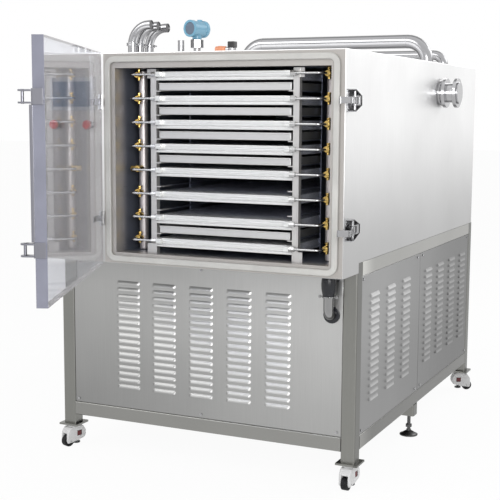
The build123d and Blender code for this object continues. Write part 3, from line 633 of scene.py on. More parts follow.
def make_covers():
    """The louvred front cover with the drain's hole, and two louvred right-hand ones."""
    x, y, z = layout_box("front_louvre_panel")
    width = x[1] - x[0]
    centres = [width / 2 + FRONT_SPACING * k for k in (-2, -1, 0, 1, 2)]
    cover = louvre_cover(width, centres, FRONT_ROWS, (x[0], FRONT_COVER_Y, z[0]), 0)
    cut(cover, rod((DRAIN_X, 150, DRAIN_TURN_Z), 26, 60, "Y"))
    fit([cover], "front_cover", "panel_steel", PANEL, "front_louvre_panel")
    for node, name, centre, step, columns in (
        ("right_front_louvre_panel", "right_front_cover", 617.0, 217.5, (-1, 0, 1)),
        ("right_back_louvre_panel", "right_back_cover", 1500.0, 210.0, (-1.5, -0.5, 0.5, 1.5)),
    ):
        x, y, z = layout_box(node)
        centres = [centre - y[0] + step * k for k in columns]
        cover = louvre_cover(y[1] - y[0], centres, SIDE_ROWS, (SIDE_COVER_X, y[0], z[0]), 90)
        fit([cover], name, "panel_steel", SIDE_PANEL, node)
    dress(SIDE_PANEL, "left_side_panels", "back_panel")


SCREW_XS = (-608.0, 0.0, 608.0)
SCREW_YS = (258.0, 1003.0, 1087.0, 1922.0)


def make_screws():
    """Low button heads with a cross recess, on all four sides of the base."""
    x, y, z = layout_box("panel_screws")
    head_r, slot, reach = 5.5, 0.6, 3.2
    heights = (z[0] + head_r, z[1] - head_r)
    first = soft_rod(0.8, (0, 0, 0), head_r, 2.0, "Y")
    cut(first, box((-reach, reach), (-2, 1.0), (-slot, slot)))
    cut(first, box((-slot, slot), (-2, 1.0), (-reach, reach)))
    ends = ((0, y[0]), (180, y[1]))
    sides = ((90, x[1]), (-90, x[0]))
    spots = [(turn, sx, sy, sz) for sx in SCREW_XS for sz in heights for turn, sy in ends]
    spots += [(turn, sx, sy, sz) for sy in SCREW_YS for sz in heights for turn, sx in sides]
    heads = [moved(turned(copied(first), turn, (0, 0, 0)), spot) for turn, *spot in spots]
    bpy.data.objects.remove(first)
    fit(heads, "cover_screws", "panel_steel", POLISHED, "panel_screws")


# ---- upper casing ------------------------------------------------------------------

CASING_SIDE, CASING_BACK, CASING_BOTTOM, ROOF = 691.0, 1968.0, 886.0, 1736.0
STEP_Y, STEP_Z = 178.0, 926.0
DOORWAY_X = -347.0
HINGE_X, HINGE_Y = -357.0, -31.3
HINGE_HEIGHTS = (1070.0, 1540.0)


def make_casing():
    """The casing's sheet shell with softly folded edges, its mullion and hinge brackets."""
    side, back, low, wall, past = CASING_SIDE, CASING_BACK, CASING_BOTTOM, 3.0, 5
    shell = box((-side, side), (0, back), (low, ROOF))
    cut(shell, box((-side - past, side + past), (STEP_Y, back + past), (low - past, STEP_Z)))
    rounded(shell, 3.0, 3)
    inner = box((wall - side, side - wall), (-20, back - wall), (low + wall, ROOF - wall))
    cut(inner, box((-side, side), (STEP_Y - wall, back + past), (low - past, STEP_Z + wall)))
    cut(shell, inner)
    partition = box((DOORWAY_X - 3, DOORWAY_X), (wall, back - wall), (STEP_Z + wall, ROOF - wall))
    mullion = rounded(box((DOORWAY_X - 15, DOORWAY_X), (0, 4), (low + wall, ROOF - wall)), 1.0)
    nipple = rod((DRAIN_X, DRAIN_Y, 870), 19, 17)
    parts = [shell, partition, mullion, nipple]
    for z in HINGE_HEIGHTS:
        parts += hinge_bracket(z)
    fit(parts, "casing_shell", "casing_steel", CASING, "outer_casing")
    dress(CHAMBER, "vacuum_chamber")


def hinge_bracket(z):
    """Two knuckles on a notched arm and a plate, with the pin through them."""
    end, notch = 30, 12
    arm = box((HINGE_X - 5, HINGE_X + 5), (HINGE_Y, 0), (z - end, z + end))
    hole = ((HINGE_X - notch, HINGE_X + notch), (HINGE_Y - notch, HINGE_Y + 25))
    cut(arm, box(*hole, (z - notch, z + notch)))
    parts = [rounded(arm, 1.0)]
    parts.append(rounded(box((DOORWAY_X - 14, DOORWAY_X), (-3, 0), (z - end, z + end)), 1.0))
    for low in (z - end, z + notch):
        parts.append(soft_rod(1.0, (HINGE_X, HINGE_Y, low), 8, end - notch))
    parts.append(rod((HINGE_X, HINGE_Y, z - end), 4, 2 * end))
    return parts


GASKET_T, GASKET_W, GASKET_R = 12.0, 24.0, 42.0


def make_gasket():
    """Rounded seal frame with a soft lip."""
    x, y, z = layout_box("door_gasket")
    bpy.ops.object.select_all(action="DESELECT")
    bpy.ops.mesh.primitive_plane_add(
        size=1, location=at(sum(x) / 2, 0, sum(z) / 2), rotation=(pi / 2, 0, 0)
    )
    seal = bpy.context.object
    seal.scale = ((x[1] - x[0]) * MM, (z[1] - z[0]) * MM, 1)
    keep_place(seal)
    choose(seal, "FACE", lambda c, n: True)
    bpy.ops.mesh.bevel(offset=GASKET_R * MM, segments=8, affect="VERTICES")
    bpy.ops.mesh.inset(thickness=GASKET_W * MM)
    bpy.ops.mesh.delete(type="FACE")
    done_editing()
    modify(seal, "SOLIDIFY", thickness=GASKET_T * MM, offset=1)
    rounded(seal, 4.5, 4, 60)
    fit([seal], "door_seal", "gasket_silicone", GASKET, "door_gasket")


# ---- shelves, trays and heating circuit --------------------------------------------

RACK_X = 170.5
SHELF_TOPS = [1661.0 - 95.0 * k for k in range(8)]
SHELF_HALF, SHELF_END = 296.5, 290.0
SHELF_FRONT, SHELF_BACK, SHELF_T, PLATE_T = 40.0, 1500.0, 35.0, 22.0
TRAY_HALF, TRAY_RISE, TRAY_WALL = 287.0, 30.0, 1.5
TUBE_Y, MANIFOLD_DX, MANIFOLD_Y = 28.0, 414.0, 140.0
LOADED = (0, 1, 2, 3, 6)
TURNED_UNION = (-1, 4)


def make_shelves():
    """Extruded shelf plates: rounded nosing, groove and skirt, with end blocks."""
    parts = []
    for top in SHELF_TOPS:
        left, right = RACK_X - SHELF_HALF, RACK_X + SHELF_HALF
        depth = (SHELF_FRONT, SHELF_BACK)
        plate = rounded(box((left, right), depth, (top - PLATE_T, top)), 2.0, 2)
        neck = box((left + 4, right - 4), (SHELF_FRONT + 5, SHELF_BACK - 4), (top - 26, top - 21))
        skirt = rounded(box((left, right), depth, (top - SHELF_T, top - 25)), 1.5, 2)
        parts += [plate, neck, skirt]
        for side in (-1, 1):
            x = sorted((RACK_X + side * 268, RACK_X + side * SHELF_END))
            parts.append(rounded(box(x, (19, 42), (top - 21, top - 1)), 2.0, 2))
    fit(parts, "heated_shelves", "shelf_aluminium", SHELF, "shelves")


def make_trays():
    """Pressed pans with a rolled front rim, on rails above all but two shelves."""
    parts = []
    for k in LOADED:
        floor = SHELF_TOPS[k + 1] + 20
        x, y = (RACK_X - TRAY_HALF, RACK_X + TRAY_HALF), (45, 1480)
        pan = box(x, y, (floor, floor + TRAY_RISE))
        choose(pan, "FACE", lambda c, n: n.z > 0.5)
        bpy.ops.mesh.delete(type="FACE")
        done_editing()
        rounded(pan, 4.0, 3)
        modify(pan, "SOLIDIFY", thickness=TRAY_WALL * MM, offset=-1)
        rim = (x[0] + 2, y[0] - 0.5, floor + TRAY_RISE - 2.5)
        bead = rod(rim, 2.5, x[1] - x[0] - 4, "X", 12)
        parts += [pan, bead]
    fit(parts, "product_trays", "chamber_steel", TRAY, "trays")


def make_heating():
    """Bent shelf tubes with steel nuts, brass tees with bleed branches, two manifolds.
    One union on the left has its branch turned sideways."""
    tubes, fittings, columns = [], [], []
    for side in (-1, 1):
        x = RACK_X + side * MANIFOLD_DX
        column = rod((x, MANIFOLD_Y, 933), 19, 736, "Z", 40)
        columns.append(rounded(column, 6.0, 3, 60))
        for k, top in enumerate(SHELF_TOPS):
            z = top - PLATE_T / 2
            start = RACK_X + side * SHELF_END
            tubes.append(tube([(start, TUBE_Y, z), (x, TUBE_Y, z), (x, 88, z)], 24, 5.0, 4))
            nut = start if side > 0 else start - 22
            tubes += [
                soft_rod(1.0, (nut, TUBE_Y, z), 10.4, 22, "X", 6),
                soft_rod(1.0, (nut - 3, TUBE_Y, z), 7.5, 28, "X", 20),
            ]
            columns.append(rod((x, 119, z), 10, 6, "Y", 20))
            if (side, k) == TURNED_UNION:
                fittings += [
                    soft_rod(1.5, (x, 86, z), 13, 36, "Y", 24),
                    soft_rod(1.5, (x - 34, 100, z), 13, 34, "X", 6),
                    soft_rod(1.0, (x - 33, 100, z), 8, 40, "X", 16),
                ]
                continue
            fittings += [
                soft_rod(1.2, (x, 86, z), 12.7, 14, "Y", 6),
                soft_rod(1.0, (x, 98, z), 8, 24, "Y", 20),
                soft_rod(1.0, (x, 106, z - 22), 6.5, 38, "Z", 20),
                soft_rod(1.0, (x, 106, z - 13), 8.5, 8, "Z", 6),
                soft_rod(1.0, (x, 106, z + 16), 8.0, 8, "Z", 6),
            ]
    fit(tubes, "shelf_hoses", "chamber_steel", TUBE_STEEL, "shelf_tubes")
    fit(fittings, "brass_unions", "fitting_brass", BRASS, "tube_fittings")
    fit(columns, "manifold_columns", "chamber_steel", COLUMN_STEEL, "manifolds")
    dress(RACK_STEEL, "shelf_rack")
    dress(PLATES, "ice_condenser_plates")


# ---- control section ---------------------------------------------------------------

SCREEN_X, SCREEN_Z, BUTTON_Z, BUTTON_DX = -511.0, 1572.0, 1448.0, 80.0


def screen_block(half_width, half_height, y):
    """A cuboid about the screen's middle."""
    x = (SCREEN_X - half_width, SCREEN_X + half_width)
    return box(x, y, (SCREEN_Z - half_height, SCREEN_Z + half_height))


def make_controls():
    """Touch screen in its bezel, and two mushroom buttons in their rings."""
    dress(FLANGE, "control_panel")
    bezel = rounded(screen_block(106, 68, (-6, 0)), 3.0, 3)
    cut(bezel, screen_block(91, 51, (-10, -4.5)))
    case = rounded(screen_block(94, 58, (0, 44)), 2.0)
    fit([bezel, case], "screen_bezel", "screen_plastic", GREY_PLASTIC, "touch_screen")
    glass = screen_block(91, 51, (-4.9, -4.4))
    fit([glass], "screen_glass", "screen_plastic", SCREEN_GLASS)
    collars = []
    for name, dx in (("left", -BUTTON_DX), ("right", BUTTON_DX)):
        x = SCREEN_X + dx
        collar = soft_rod(1.5, (x, -8, BUTTON_Z), 17, 8, "Y", 40)
        cut(collar, rod((x, -12, BUTTON_Z), 6.3, 30, "Y", 24))
        collars.append(collar)
        head = rod((x, -28, BUTTON_Z), 19, 14, "Y", 40)
        choose(head, "EDGE", lambda a, b: max(a.y, b.y) < at(0, -27, 0).y)
        bpy.ops.mesh.bevel(offset=7 * MM, segments=5, affect="EDGES")
        done_editing()
        rounded(head, 1.0, 2, 60)
        stem = rod((x, -16, BUTTON_Z), 6, 46, "Y", 24)
        node = f"stop_button_{name}"
        finish_piece(joined(head, stem), f"mushroom_{name}", node, "button_red", RED, node)
    fit(collars, "button_rings", "collar_plastic", BLACK_PLASTIC, "button_collars")


# ---- door --------------------------------------------------------------------------

DOOR_ANGLE = -67.0
DOOR_FACE, DOOR_T, DOOR_EDGE = -50.3, 38.0, 690.0
STRAP_T = 4.0
LATCHES = (("lower", 1070.0), ("upper", 1548.0))
CLEVIS_Y = DOOR_FACE - 34


def opened(obj):
    """Turns what was made on the shut door out with it."""
    return turned(obj, DOOR_ANGLE, (HINGE_X, HINGE_Y, 0))


def make_door():
    """The clear sheet with painted shade on its latch edge, an opaque dark band, and its steel."""
    y, z = (DOOR_FACE, DOOR_FACE + DOOR_T), (CASING_BOTTOM, ROOF)
    sheet = rounded(box((DOORWAY_X, DOOR_EDGE - 1.5), y, z), 1.0, 2)
    finish_piece(opened(sheet), "door_sheet", "door", "door_acrylic", ACRYLIC, "door_panel")
    band = rounded(box((DOOR_EDGE - 2.5, DOOR_EDGE), y, z), 1.0, 2)
    finish_piece(opened(band), "door_edge", "door", "door_acrylic", ACRYLIC_EDGE_SHADE)
    make_hinge_leaves()
    make_latch_bar()


def make_hinge_leaves():
    leaves = []
    front, half = DOOR_FACE - STRAP_T, 11.7
    for z in HINGE_HEIGHTS:
        height = (z - half, z + half)
        knuckle = soft_rod(0.8, (HINGE_X, HINGE_Y, z - half), 8, 2 * half, "Z", 32)
        web = box((HINGE_X - 8, HINGE_X), (front, HINGE_Y), height)
        strap = box((HINGE_X - 8, DOORWAY_X + 60), (front, DOOR_FACE), height)
        screws = [soft_rod(0.5, (x, DOOR_FACE - 6.5, z), 4.5, 3, "Y", 6) for x in (-330, -302)]
        leaf = joined(knuckle, rounded(web, 0.8), rounded(strap, 1.0), *screws)
        leaves.append(opened(leaf))
    finish_piece(joined(*leaves), "hinge_leaves", "door", "casing_steel", CAST_STEEL, "door_hinge_leaves")


def make_latch_bar():
    """Upright bar between two wrapped straps, each with a clevis, pin and four screws."""
    edge, front, half, ear_t = DOOR_EDGE, DOOR_FACE - STRAP_T, 25, 6
    low_end, high_end = (z for key, z in LATCHES)
    bar = box((edge - 27, edge - 2), (DOOR_FACE - 12, DOOR_FACE), (low_end + half, high_end - half))
    parts = [rounded(bar, 1.5, 2)]
    for key, z in LATCHES:
        strap = box((edge - 62, edge + 3), (front, DOOR_FACE), (z - half, z + half))
        wrap = box((edge, edge + 3), (DOOR_FACE - 3, DOOR_FACE + 34), (z - half, z + half))
        parts += [rounded(strap, 1.2), rounded(wrap, 1.0)]
        for low in (z - 22, z + 22 - ear_t):
            ear = joined(
                box((edge - 26, edge + 3), (CLEVIS_Y, front), (low, low + ear_t)),
                rod((edge - 11.5, CLEVIS_Y, low), 14.5, ear_t, "Z", 32),
            )
            parts.append(rounded(ear, 0.8))
        parts.append(rod((edge - 11.5, CLEVIS_Y, z - 23), 5, 46, "Z", 24))
        for x in (edge - 53, edge - 39):
            for dz in (-15, 15):
                parts.append(soft_rod(0.5, (x, DOOR_FACE - 7, z + dz), 4.0, 4, "Y", 6))
    finish_piece(opened(joined(*parts)), "latch_bar", "door", "casing_steel", STRAP_STEEL, "door_latch_bar")


# ---- latches -----------------------------------------------------------------------

PIVOT_X, PIVOT_Y = 707.0, 54.0
HOOK_HALF, LEVER_HALF = 12.0, 18.0


def make_latches():
    """Half-hexagon pans on the casing's side, each with a hook and a folding lever."""
    pans = []
    for key, z in LATCHES:
        outline = [(4, -42), (36, -42), (104, -18), (104, 18), (36, 42), (4, 42)]
        pan = prism([(y, z + dz) for y, dz in outline], "X", CASING_SIDE, CASING_SIDE + 28)
        choose(pan, "FACE", lambda c, n: n.x > 0.5)
        bpy.ops.mesh.inset(thickness=3 * MM)
        push(-25, 0, 0)
        done_editing()
        cut(pan, box((CASING_SIDE + 3, CASING_SIDE + 34), (0, 8), (z - 38, z + 38)))
        pans += [
            rounded(pan, 1.0, 2),
            rod((PIVOT_X, PIVOT_Y, z - 34), 5, 68, "Z", 24),
        ]
        for y, dz in ((20, 30), (20, -30), (90, 0)):
            pans.append(soft_rod(1.0, (CASING_SIDE + 2, y, z + dz), 5, 3.0, "X", 24))
        for kind, piece in (("hook", latch_hook(z)), ("lever", latch_lever(z))):
            node = f"latch_{kind}_{key}"
            finish_piece(piece, f"draw_{kind}_{key}", node, "casing_steel", POLISHED, node)
    fit(pans, "latch_pans", "casing_steel", CAST_STEEL, "latch_brackets")


def latch_hook(z):
    """An arm from the pivot whose nose catches behind the clevis pin."""
    reach, height = CLEVIS_Y - 6.5, (z - HOOK_HALF, z + HOOK_HALF)
    arm = box((PIVOT_X - 6, PIVOT_X + 6), (reach - 10, PIVOT_Y), height)
    nose = box((DOOR_EDGE - 22, PIVOT_X + 6), (reach - 10, reach), height)
    tip = rod((DOOR_EDGE - 22, reach - 5, height[0]), 5, 2 * HOOK_HALF, "Z", 20)
    hub = rod((PIVOT_X, PIVOT_Y, height[0]), 10, 2 * HOOK_HALF, "Z", 32)
    hook = joined(rounded(arm, 2.5, 3), rounded(nose, 2.0, 3), tip, rounded(hub, 1.0))
    return turned(hook, 15, (PIVOT_X, PIVOT_Y, 0))


def latch_lever(z):
    """Two plates from the pivot, above and below the hook, joined by a grip."""
    out, plate_t, height = PIVOT_X + 11, 5, (z - LEVER_HALF, z + LEVER_HALF)
    grip = box((out - plate_t, out), (PIVOT_Y + 18, PIVOT_Y + 38), height)
    parts = [rounded(grip, 2.0, 3)]
    for low in (height[0], height[1] - plate_t):
        arm = box((PIVOT_X, out), (PIVOT_Y, PIVOT_Y + 24), (low, low + plate_t))
        parts += [
            soft_rod(0.8, (PIVOT_X, PIVOT_Y, low), 10, plate_t, "Z", 32),
            rounded(arm, 0.8),
        ]
    return joined(*parts)


# ---- drain -------------------------------------------------------------------------


def make_drain():
    """Bellied rubber sleeve with two rings, a clamp and the bend into the cover."""
    x, y, turn_z, top, low = DRAIN_X, DRAIN_Y, DRAIN_TURN_Z, 884.0, 794.0
    sleeve = rod((x, y, low), 24.5, top - low, "Z", 40)
    choose(sleeve, "FACE", lambda c, n: abs(n.z) < 0.5)
    bpy.ops.mesh.subdivide(number_cuts=5)
    done_editing()
    middle = at(x, y, 0)
    for vertex in sleeve.data.vertices:
        share = ((vertex.co.z - LIFT) / MM - low) / (top - low)
        swell = 0.92 + 0.28 * sin(pi * min(1.0, max(0.0, share)))
        vertex.co.x = middle.x + (vertex.co.x - middle.x) * swell
        vertex.co.y = middle.y + (vertex.co.y - middle.y) * swell
    rings = [soft_rod(1.5, (x, y, z), 24, 5, "Z", 40) for z in (low + 2, top - 7)]
    grommet = soft_rod(3.0, (x, 177, turn_z), 34, 8, "Y", 48, steps=3)
    rubbers = [sleeve, *rings, grommet]
    fit(rubbers, "drain_sleeve", "drain_rubber", BLACK_RUBBER, "drain_rubbers")
    elbow = tube([(x, y, low + 4), (x, y, turn_z), (x, 192, turn_z)], 30, 20, 8)
    clamp = soft_rod(1.5, (x, y, low - 6), 25, 6, "Z", 40)
    parts = [elbow, clamp]
    for side in (-1, 1):
        ear = box(sorted((x + side * 22, x + side * 33)), (y - 3, y + 3), (low - 6, low))
        parts += [
            rounded(ear, 0.8),
            soft_rod(1.0, (x + side * 35.5, y - 3, low - 3), 6, 6, "Y", 24),
        ]
    parts.append(soft_rod(0.5, (x + 10, y - 31, low - 3), 3, 8, "Y", 16))
    fit(parts, "drain_bend", "pipe_steel", DRAIN_STEEL, "drain_elbow")


# ---- roof --------------------------------------------------------------------------


def vent(x, y, rise):
    """A clamped tube that rises and bends right, closed by a disc set in its end."""
    bend, run, tube_r, bore_r = 80, 92, 19, 17.4
    points = [(x, y, ROOF), (x, y, ROOF + rise), (x + run, y, ROOF + rise)]
    parts = [tube(points, bend, tube_r, 8, bore_r)]
    for low in (ROOF + 37.5, ROOF + 44.5):
        parts.append(soft_rod(1.5, (x, y, low), 25, 6, "Z", 40))
    band = rod((x, y, ROOF + 40), 24.0, 8, "Z", 40)
    bolt = soft_rod(0.5, (x + 21, y, ROOF + 44), 3.5, 16, "X", 6)
    blank = rod((x + run - 5, y, ROOF + rise), bore_r + 0.2, 2, "X", 32)
    return parts + [band, bolt, blank]


ROOF_ROW_Y = 200.0
STUB_X, TRANSMITTER_X, AIR_VALVE_X = -100.0, -26.0, 82.0


def make_roof():
    """Three vents, an open stub and the fittings that carry the two instruments."""
    parts = vent(-330, ROOF_ROW_Y, 123) + vent(-330, 259, 121) + vent(-330, 338, 119)
    stub = rod((STUB_X, ROOF_ROW_Y, ROOF), 13, 56, "Z", 32)
    cut(stub, rod((STUB_X, ROOF_ROW_Y, ROOF + 6), 11, 80, "Z", 32))
    parts += [
        stub,
        rod((TRANSMITTER_X, ROOF_ROW_Y, ROOF), 14, 26, "Z", 32),
        soft_rod(2.0, (TRANSMITTER_X, ROOF_ROW_Y, ROOF + 24), 26.5, 34, "Z", 6),
        soft_rod(0.8, (AIR_VALVE_X + 50, ROOF_ROW_Y, ROOF), 10, 10, "Z", 6),
    ]
    fit(parts, "roof_vents", "pipe_steel", POLISHED, "roof_fittings")
    make_transmitter()
    make_air_valve()
    make_roof_pipes()


def make_transmitter():
    """Round head with a window in front and a ribbed cap behind, turned on its stem."""
    x, y, z, yaw = TRANSMITTER_X, ROOF_ROW_Y, ROOF + 100, -14
    parts = [soft_rod(2.0, (x, y - 38, z), 31, 76, "Y", 48, steps=3)]
    window = rod((x, y - 45, z), 34, 18, "Y", 48)
    choose(window, "FACE", lambda c, n: n.y < -0.9)
    bpy.ops.mesh.inset(thickness=9 * MM)
    push(0, 4, 0)
    done_editing()
    parts.append(rounded(window, 1.2, 2))
    cap = soft_rod(3.5, (x, y + 28, z), 34, 17, "Y", 48, steps=3)
    for k in range(12):
        rib = box((x - 1.6, x + 1.6), (y + 30, y + 43), (z + 32.6, z + 34))
        parts.append(turned(rib, 30 * k, (x, 0, z), "Y"))
    parts += [cap, soft_rod(2.0, (x, y, z - 42), 19, 26, "Z", 40)]
    parts.append(soft_rod(1.5, (x, y + 16, z + 24), 10.5, 13, "Z", 32))
    body = turned(joined(*parts), yaw, (x, y, 0))
    fit([body], "transmitter_head", "transmitter_enamel", BLUE_ENAMEL, "pressure_transmitter")
    glass = turned(soft_rod(0.6, (x, y - 42, z), 24.8, 2.5, "Y", 48), yaw, (x, y, 0))
    fit([glass], "transmitter_window", "screen_plastic", SCREEN_GLASS)


def make_air_valve():
    x, y, z = AIR_VALVE_X, ROOF_ROW_Y, ROOF + 16
    barrel = soft_rod(2.0, (x - 22, y, z), 13, 46, "X", 32)
    flats = soft_rod(1.5, (x - 10, y, z), 16, 20, "X", 6)
    fit([barrel, flats], "air_valve_body", "valve_enamel", ORANGE_ENAMEL, "air_valve")
    neck = soft_rod(1.0, (x + 24, y, z), 10, 16, "X", 24)
    seat = soft_rod(1.5, (x + 50, y, ROOF + 10), 15.5, 12, "Z", 32)
    fit([neck, seat], "air_valve_neck", "valve_enamel", CAST_STEEL)
    coil = rounded(box((x + 36, x + 66), (y - 15, y + 15), (ROOF + 22, ROOF + 47)), 3.0, 3)
    fit([coil], "air_valve_coil", "valve_enamel", BLACK_PLASTIC)


def make_roof_pipes():
    """Two arched lines with weld beads at their bends and, on the big one, collars."""
    parts = []
    bead_t, bead_rise = 2.4, 0.5
    for y, z, left, right, bend, r, collar in (
        (1250.0, ROOF + 100, -300.0, 631.0, 95.0, 32.0, 46.0),
        (1600.0, ROOF + 53, 200.0, 615.0, 50.0, 24.0, 0.0),
    ):
        parts.append(tube([(left, y, ROOF), (left, y, z), (right, y, z), (right, y, ROOF)], bend, r, 10))
        for x in (left, right):
            if collar:
                parts.append(soft_rod(1.5, (x, y, ROOF), collar, 6, "Z", 48))
            if z - bend > ROOF + 2:
                low = (x, y, z - bend - bead_t / 2)
                parts.append(soft_rod(0.8, low, r + bead_rise, bead_t, "Z", 48))
        for x in (left + bend, right - bend):
            start = (x - bead_t / 2, y, z)
            parts.append(soft_rod(0.8, start, r + bead_rise, bead_t, "X", 48))
    fit(parts, "roof_lines", "pipe_steel", POLISHED, "roof_pipes")


def make_port():
    """Blanked side port: a dark neck between two discs, with a domed blank."""
    x, y, z = CASING_SIDE, 1305.0, 1597.0
    parts = [rod((x, y, z), 45, 84, "X", 48), soft_rod(1.5, (x, y, z), 60, 5, "X", 48)]
    for out in (14, 66):
        parts.append(soft_rod(2.5, (x + out, y, z), 69, 16, "X", 64, steps=3))
    parts.append(soft_rod(3.0, (x + 80, y, z), 52, 9.5, "X", 64, steps=3))
    fit(parts, "port_flanges", "pipe_steel", PORT_STEEL, "side_port")


# ---- casters and feet --------------------------------------------------------------

POST_X, FOOT_Y = 656.0, 1020.0
CASTERS = {
    "front_left": (-POST_X, 210.0, 20.0),
    "front_right": (POST_X, 210.0, 4.0),
    "back_left": (-POST_X, 1970.0, -160.0),
    "back_right": (POST_X, 1970.0, -115.0),
}
WHEEL_R, WHEEL_HALF, TRAIL = 26.0, 13.0, 34.0
SCREW_Y, SCREW_R, SCREW_BORE = 12.0, 6.0, 6.2
DIAL_R, DIAL_H = 26.0, 20.0
CHEEK = 25.0


def caster_housing(x, y):
    """Swivel body round the kingpin: cheeks, open front and windows for the dial."""
    outline = [(-48, 16), (-52, 30), (-50, 66), (-34, 88), (34, 88), (48, 66), (48, 44)]
    outline += [(40, 32), (0, 22)]
    body = prism([(y + a, FLOOR + b) for a, b in outline], "X", x - CHEEK, x + CHEEK)
    rounded(body, 4.0, 3, 20)
    cut(body, box((x - 15, x + 15), (y - 80, y - 4), (FLOOR - 1, FLOOR + 62)))
    cut(body, rod((x, y + SCREW_Y, FLOOR), 20, 40, "Z", 40))
    cut(body, rod((x, y + SCREW_Y, FLOOR + 45), DIAL_R + 2, DIAL_H + 4, "Z", 48))
    cut(body, rod((x, y + SCREW_Y, FLOOR + 38), SCREW_BORE, 36, "Z", 24))
    cut(body, rod((x, y, FLOOR + 79), SCREW_BORE, 30, "Z", 24))
    head = rounded(rod((x, y, FLOOR + 84), 31, 14, "Z", 48), 5.0, 4, 60)
    cut(head, rod((x, y, FLOOR + 79), SCREW_BORE, 40, "Z", 24))
    axle = soft_rod(0.5, (x - CHEEK, y - TRAIL, FLOOR + WHEEL_R), 4, 2 * CHEEK, "X", 24)
    return joined(body, head, axle)


def caster_wheel(x, y):
    """A tyre-faced roller with dished sides."""
    wheel = rod((x - WHEEL_HALF, y - TRAIL, FLOOR + WHEEL_R), WHEEL_R, 2 * WHEEL_HALF, "X", 48)
    choose(wheel, "FACE", lambda c, n: abs(n.x) > 0.9)
    bpy.ops.mesh.inset(thickness=9 * MM, use_individual=True)
    done_editing()
    for side in (-1, 1):
        rim = at(x + side * WHEEL_HALF, y - TRAIL, FLOOR + WHEEL_R)
        choose(wheel, "FACE", lambda c, n: n.x * side > 0.9 and (c - rim).length < 1e-4)
        push(-side * 3, 0, 0)
        done_editing()
    return rounded(wheel, 3.0, 4, 60)


def make_casters():
    """Four casters, each housing, wheel, dial and pad riding on its own body."""
    for name, (x, y, turn) in CASTERS.items():
        node = f"caster_{name}"
        dial = rod((x, y + SCREW_Y, FLOOR + 47), DIAL_R, DIAL_H, "Z", 36)
        choose(dial, "EDGE", lambda a, b: abs(a.z - b.z) > 15 * MM)
        bpy.ops.mesh.bevel(offset=1.2 * MM, segments=2, affect="EDGES")
        done_editing()
        cut(dial, rod((x, y + SCREW_Y, FLOOR + 40), SCREW_BORE, 40, "Z", 24))
        pad = soft_rod(2.0, (x, y + SCREW_Y, FLOOR + 8), 17, 8, "Z", 40)
        stem = rod((x, y + SCREW_Y, FLOOR + 14), SCREW_R, 58, "Z", 20)
        pieces = [
            (caster_housing(x, y), "housing", node, "caster_nylon", NYLON),
            (caster_wheel(x, y), "wheel", f"{node}_wheel", "wheel_rubber", TYRE),
            (dial, "dial", f"{node}_dial", "dial_red", DIAL_RED),
            (joined(pad, stem), "pad", f"{node}_pad", "pad_rubber", BLACK_RUBBER),
        ]
        for obj, kind, body, slot, material in pieces:
            turned(obj, -turn, (x, y, 0))
            finish_piece(obj, f"{kind}_{name}", body, slot, material, body)


def make_feet():
    """Two threaded feet, the thread as a stack of fine rings."""
    for key, x in (("left", -POST_X), ("right", POST_X)):
        y = FOOT_Y
        base = soft_rod(1.5, (x, y, FLOOR), 42, 6, "Z", 48)
        cone = rod((x, y, FLOOR + 5), 40, 16, "Z", 48, 14)
        neck = soft_rod(1.0, (x, y, FLOOR + 20), 11, 8, "Z", 32)
        stud = rod((x, y, FLOOR + 26), 7.6, 105, "Z", 24)
        thread = [FLOOR + 54 + 2.2 * k for k in range(20)]
        rings = [soft_rod(0.4, (x, y, z), 8.0, 1.3, "Z", 24) for z in thread]
        nut = soft_rod(1.2, (x, y, FLOOR + 38), 15, 14, "Z", 6)
        foot = joined(base, cone, neck, stud, nut, *rings)
        node = f"levelling_foot_{key}"
        finish_piece(foot, f"screw_foot_{key}", node, "pipe_steel", BLACK_STEEL, node)


# ---- frame and machinery -----------------------------------------------------------


def dress_frame():
    """Finishes for the tube frame and the machines, whose solids stay as they are."""
    dress(POST_STEEL, "base_posts")
    dress(RAIL_STEEL, "base_rails")
    dress(MACHINE_ENAMEL, "compressor", "vacuum_pump")
    dress(COIL, "condenser")
    dress(BLACK_PLASTIC, "condenser_fan")


# ---- stage -------------------------------------------------------------------------

AMBIENT = 0.55
FLOOR_GLOW = 0.95
SOFT_BOXES = (
    ("front_left", (-2.0, -4.2, 4.2), 4.6, 2.6, 95, (0.0, 0.0, 0.6)),
    ("back_right", (3.0, 3.9, 3.8), 3.6, 2.4, 90, (0.7, 0.5, 0.6)),
    ("mouth", (2.9, -4.3, 2.0), 2.0, 1.6, 110, (0.3, -0.1, 1.2)),
)


def seen_by_eye(tree):
    """1 for camera, glossy and transmission rays, 0 for the rays that carry light."""
    path = tree.nodes.new("ShaderNodeLightPath")
    total = path.outputs["Is Camera Ray"]
    for kind in ("Is Glossy Ray", "Is Transmission Ray"):
        either = tree.nodes.new("ShaderNodeMath")
        either.operation = "MAXIMUM"
        tree.links.new(total, either.inputs[0])
        tree.links.new(path.outputs[kind], either.inputs[1])
        total = either.outputs["Value"]
    return total


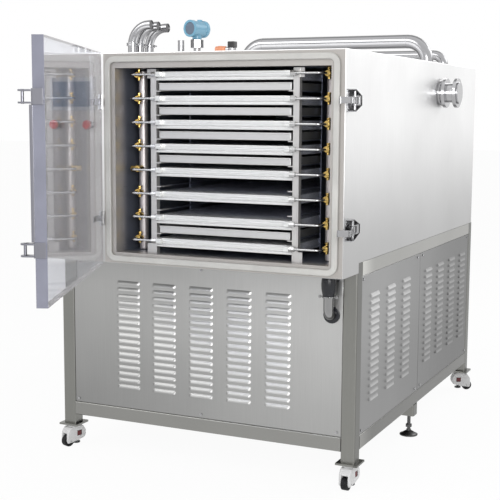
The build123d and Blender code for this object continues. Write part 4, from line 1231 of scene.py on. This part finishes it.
def make_stage():
    """White floor that keeps a faint shadow, white surround and three soft boxes."""
    bpy.ops.object.select_all(action="DESELECT")
    bpy.ops.mesh.primitive_plane_add(size=80, location=(0, 0, 0))
    floor = bpy.context.object
    floor.name = "studio_floor"
    material, tree, bsdf = shader("studio_floor", (0.90, 0.90, 0.90), 0.9)
    glow = tree.nodes.new("ShaderNodeEmission")
    glow.inputs["Strength"].default_value = 1.0
    share = tree.nodes.new("ShaderNodeMath")
    share.operation = "MULTIPLY"
    share.inputs[1].default_value = FLOOR_GLOW
    tree.links.new(seen_by_eye(tree), share.inputs[0])
    mixed = tree.nodes.new("ShaderNodeMixShader")
    tree.links.new(share.outputs["Value"], mixed.inputs["Fac"])
    tree.links.new(bsdf.outputs["BSDF"], mixed.inputs[1])
    tree.links.new(glow.outputs["Emission"], mixed.inputs[2])
    tree.links.new(mixed.outputs["Shader"], tree.nodes["Material Output"].inputs["Surface"])
    floor.data.materials.append(material)

    world = bpy.data.worlds.new("studio")
    bpy.context.scene.world = world
    world.use_nodes = True
    tree = world.node_tree
    background = tree.nodes["Background"]
    background.inputs["Color"].default_value = (1, 1, 1, 1)
    strength = between(tree, seen_by_eye(tree), AMBIENT, 1.0)
    tree.links.new(strength, background.inputs["Strength"])

    for name, place, width, height, power, aim in SOFT_BOXES:
        light = bpy.data.lights.new(name, "AREA")
        light.shape = "RECTANGLE"
        light.size, light.size_y = width, height
        light.energy = power
        lamp = bpy.data.objects.new(name, light)
        bpy.context.collection.objects.link(lamp)
        lamp.location = place
        lamp.rotation_euler = (Vector(aim) - Vector(place)).to_track_quat("-Z", "Y").to_euler()


CAMERA_PLACE = (2083.4, -3811.3, 1505.2)
CAMERA_LENS, CAMERA_YAW, CAMERA_DOWN, CAMERA_ROLL = 79.12, 24.963, 7.178, 0.329


def make_camera():
    """A camera at head height off the right front corner, looking slightly down."""
    camera = bpy.data.cameras.new("camera")
    camera.sensor_width = 36.0
    camera.lens = CAMERA_LENS
    camera.clip_end = 100
    holder = bpy.data.objects.new("camera", camera)
    bpy.context.collection.objects.link(holder)
    place = Matrix.Translation(at(*CAMERA_PLACE))
    yaw = Matrix.Rotation(radians(CAMERA_YAW), 4, "Z")
    tilt = Matrix.Rotation(radians(90 - CAMERA_DOWN), 4, "X")
    roll = Matrix.Rotation(radians(CAMERA_ROLL), 4, "Z")
    holder.matrix_world = place @ yaw @ tilt @ roll
    bpy.context.scene.camera = holder
    bpy.context.scene.view_settings.view_transform = "Standard"


make_camera()
make_stage()
make_covers()
make_screws()
make_casing()
make_gasket()
make_shelves()
make_trays()
make_heating()
make_controls()
make_door()
make_latches()
make_drain()
make_roof()
make_port()
make_casters()
make_feet()
dress_frame()
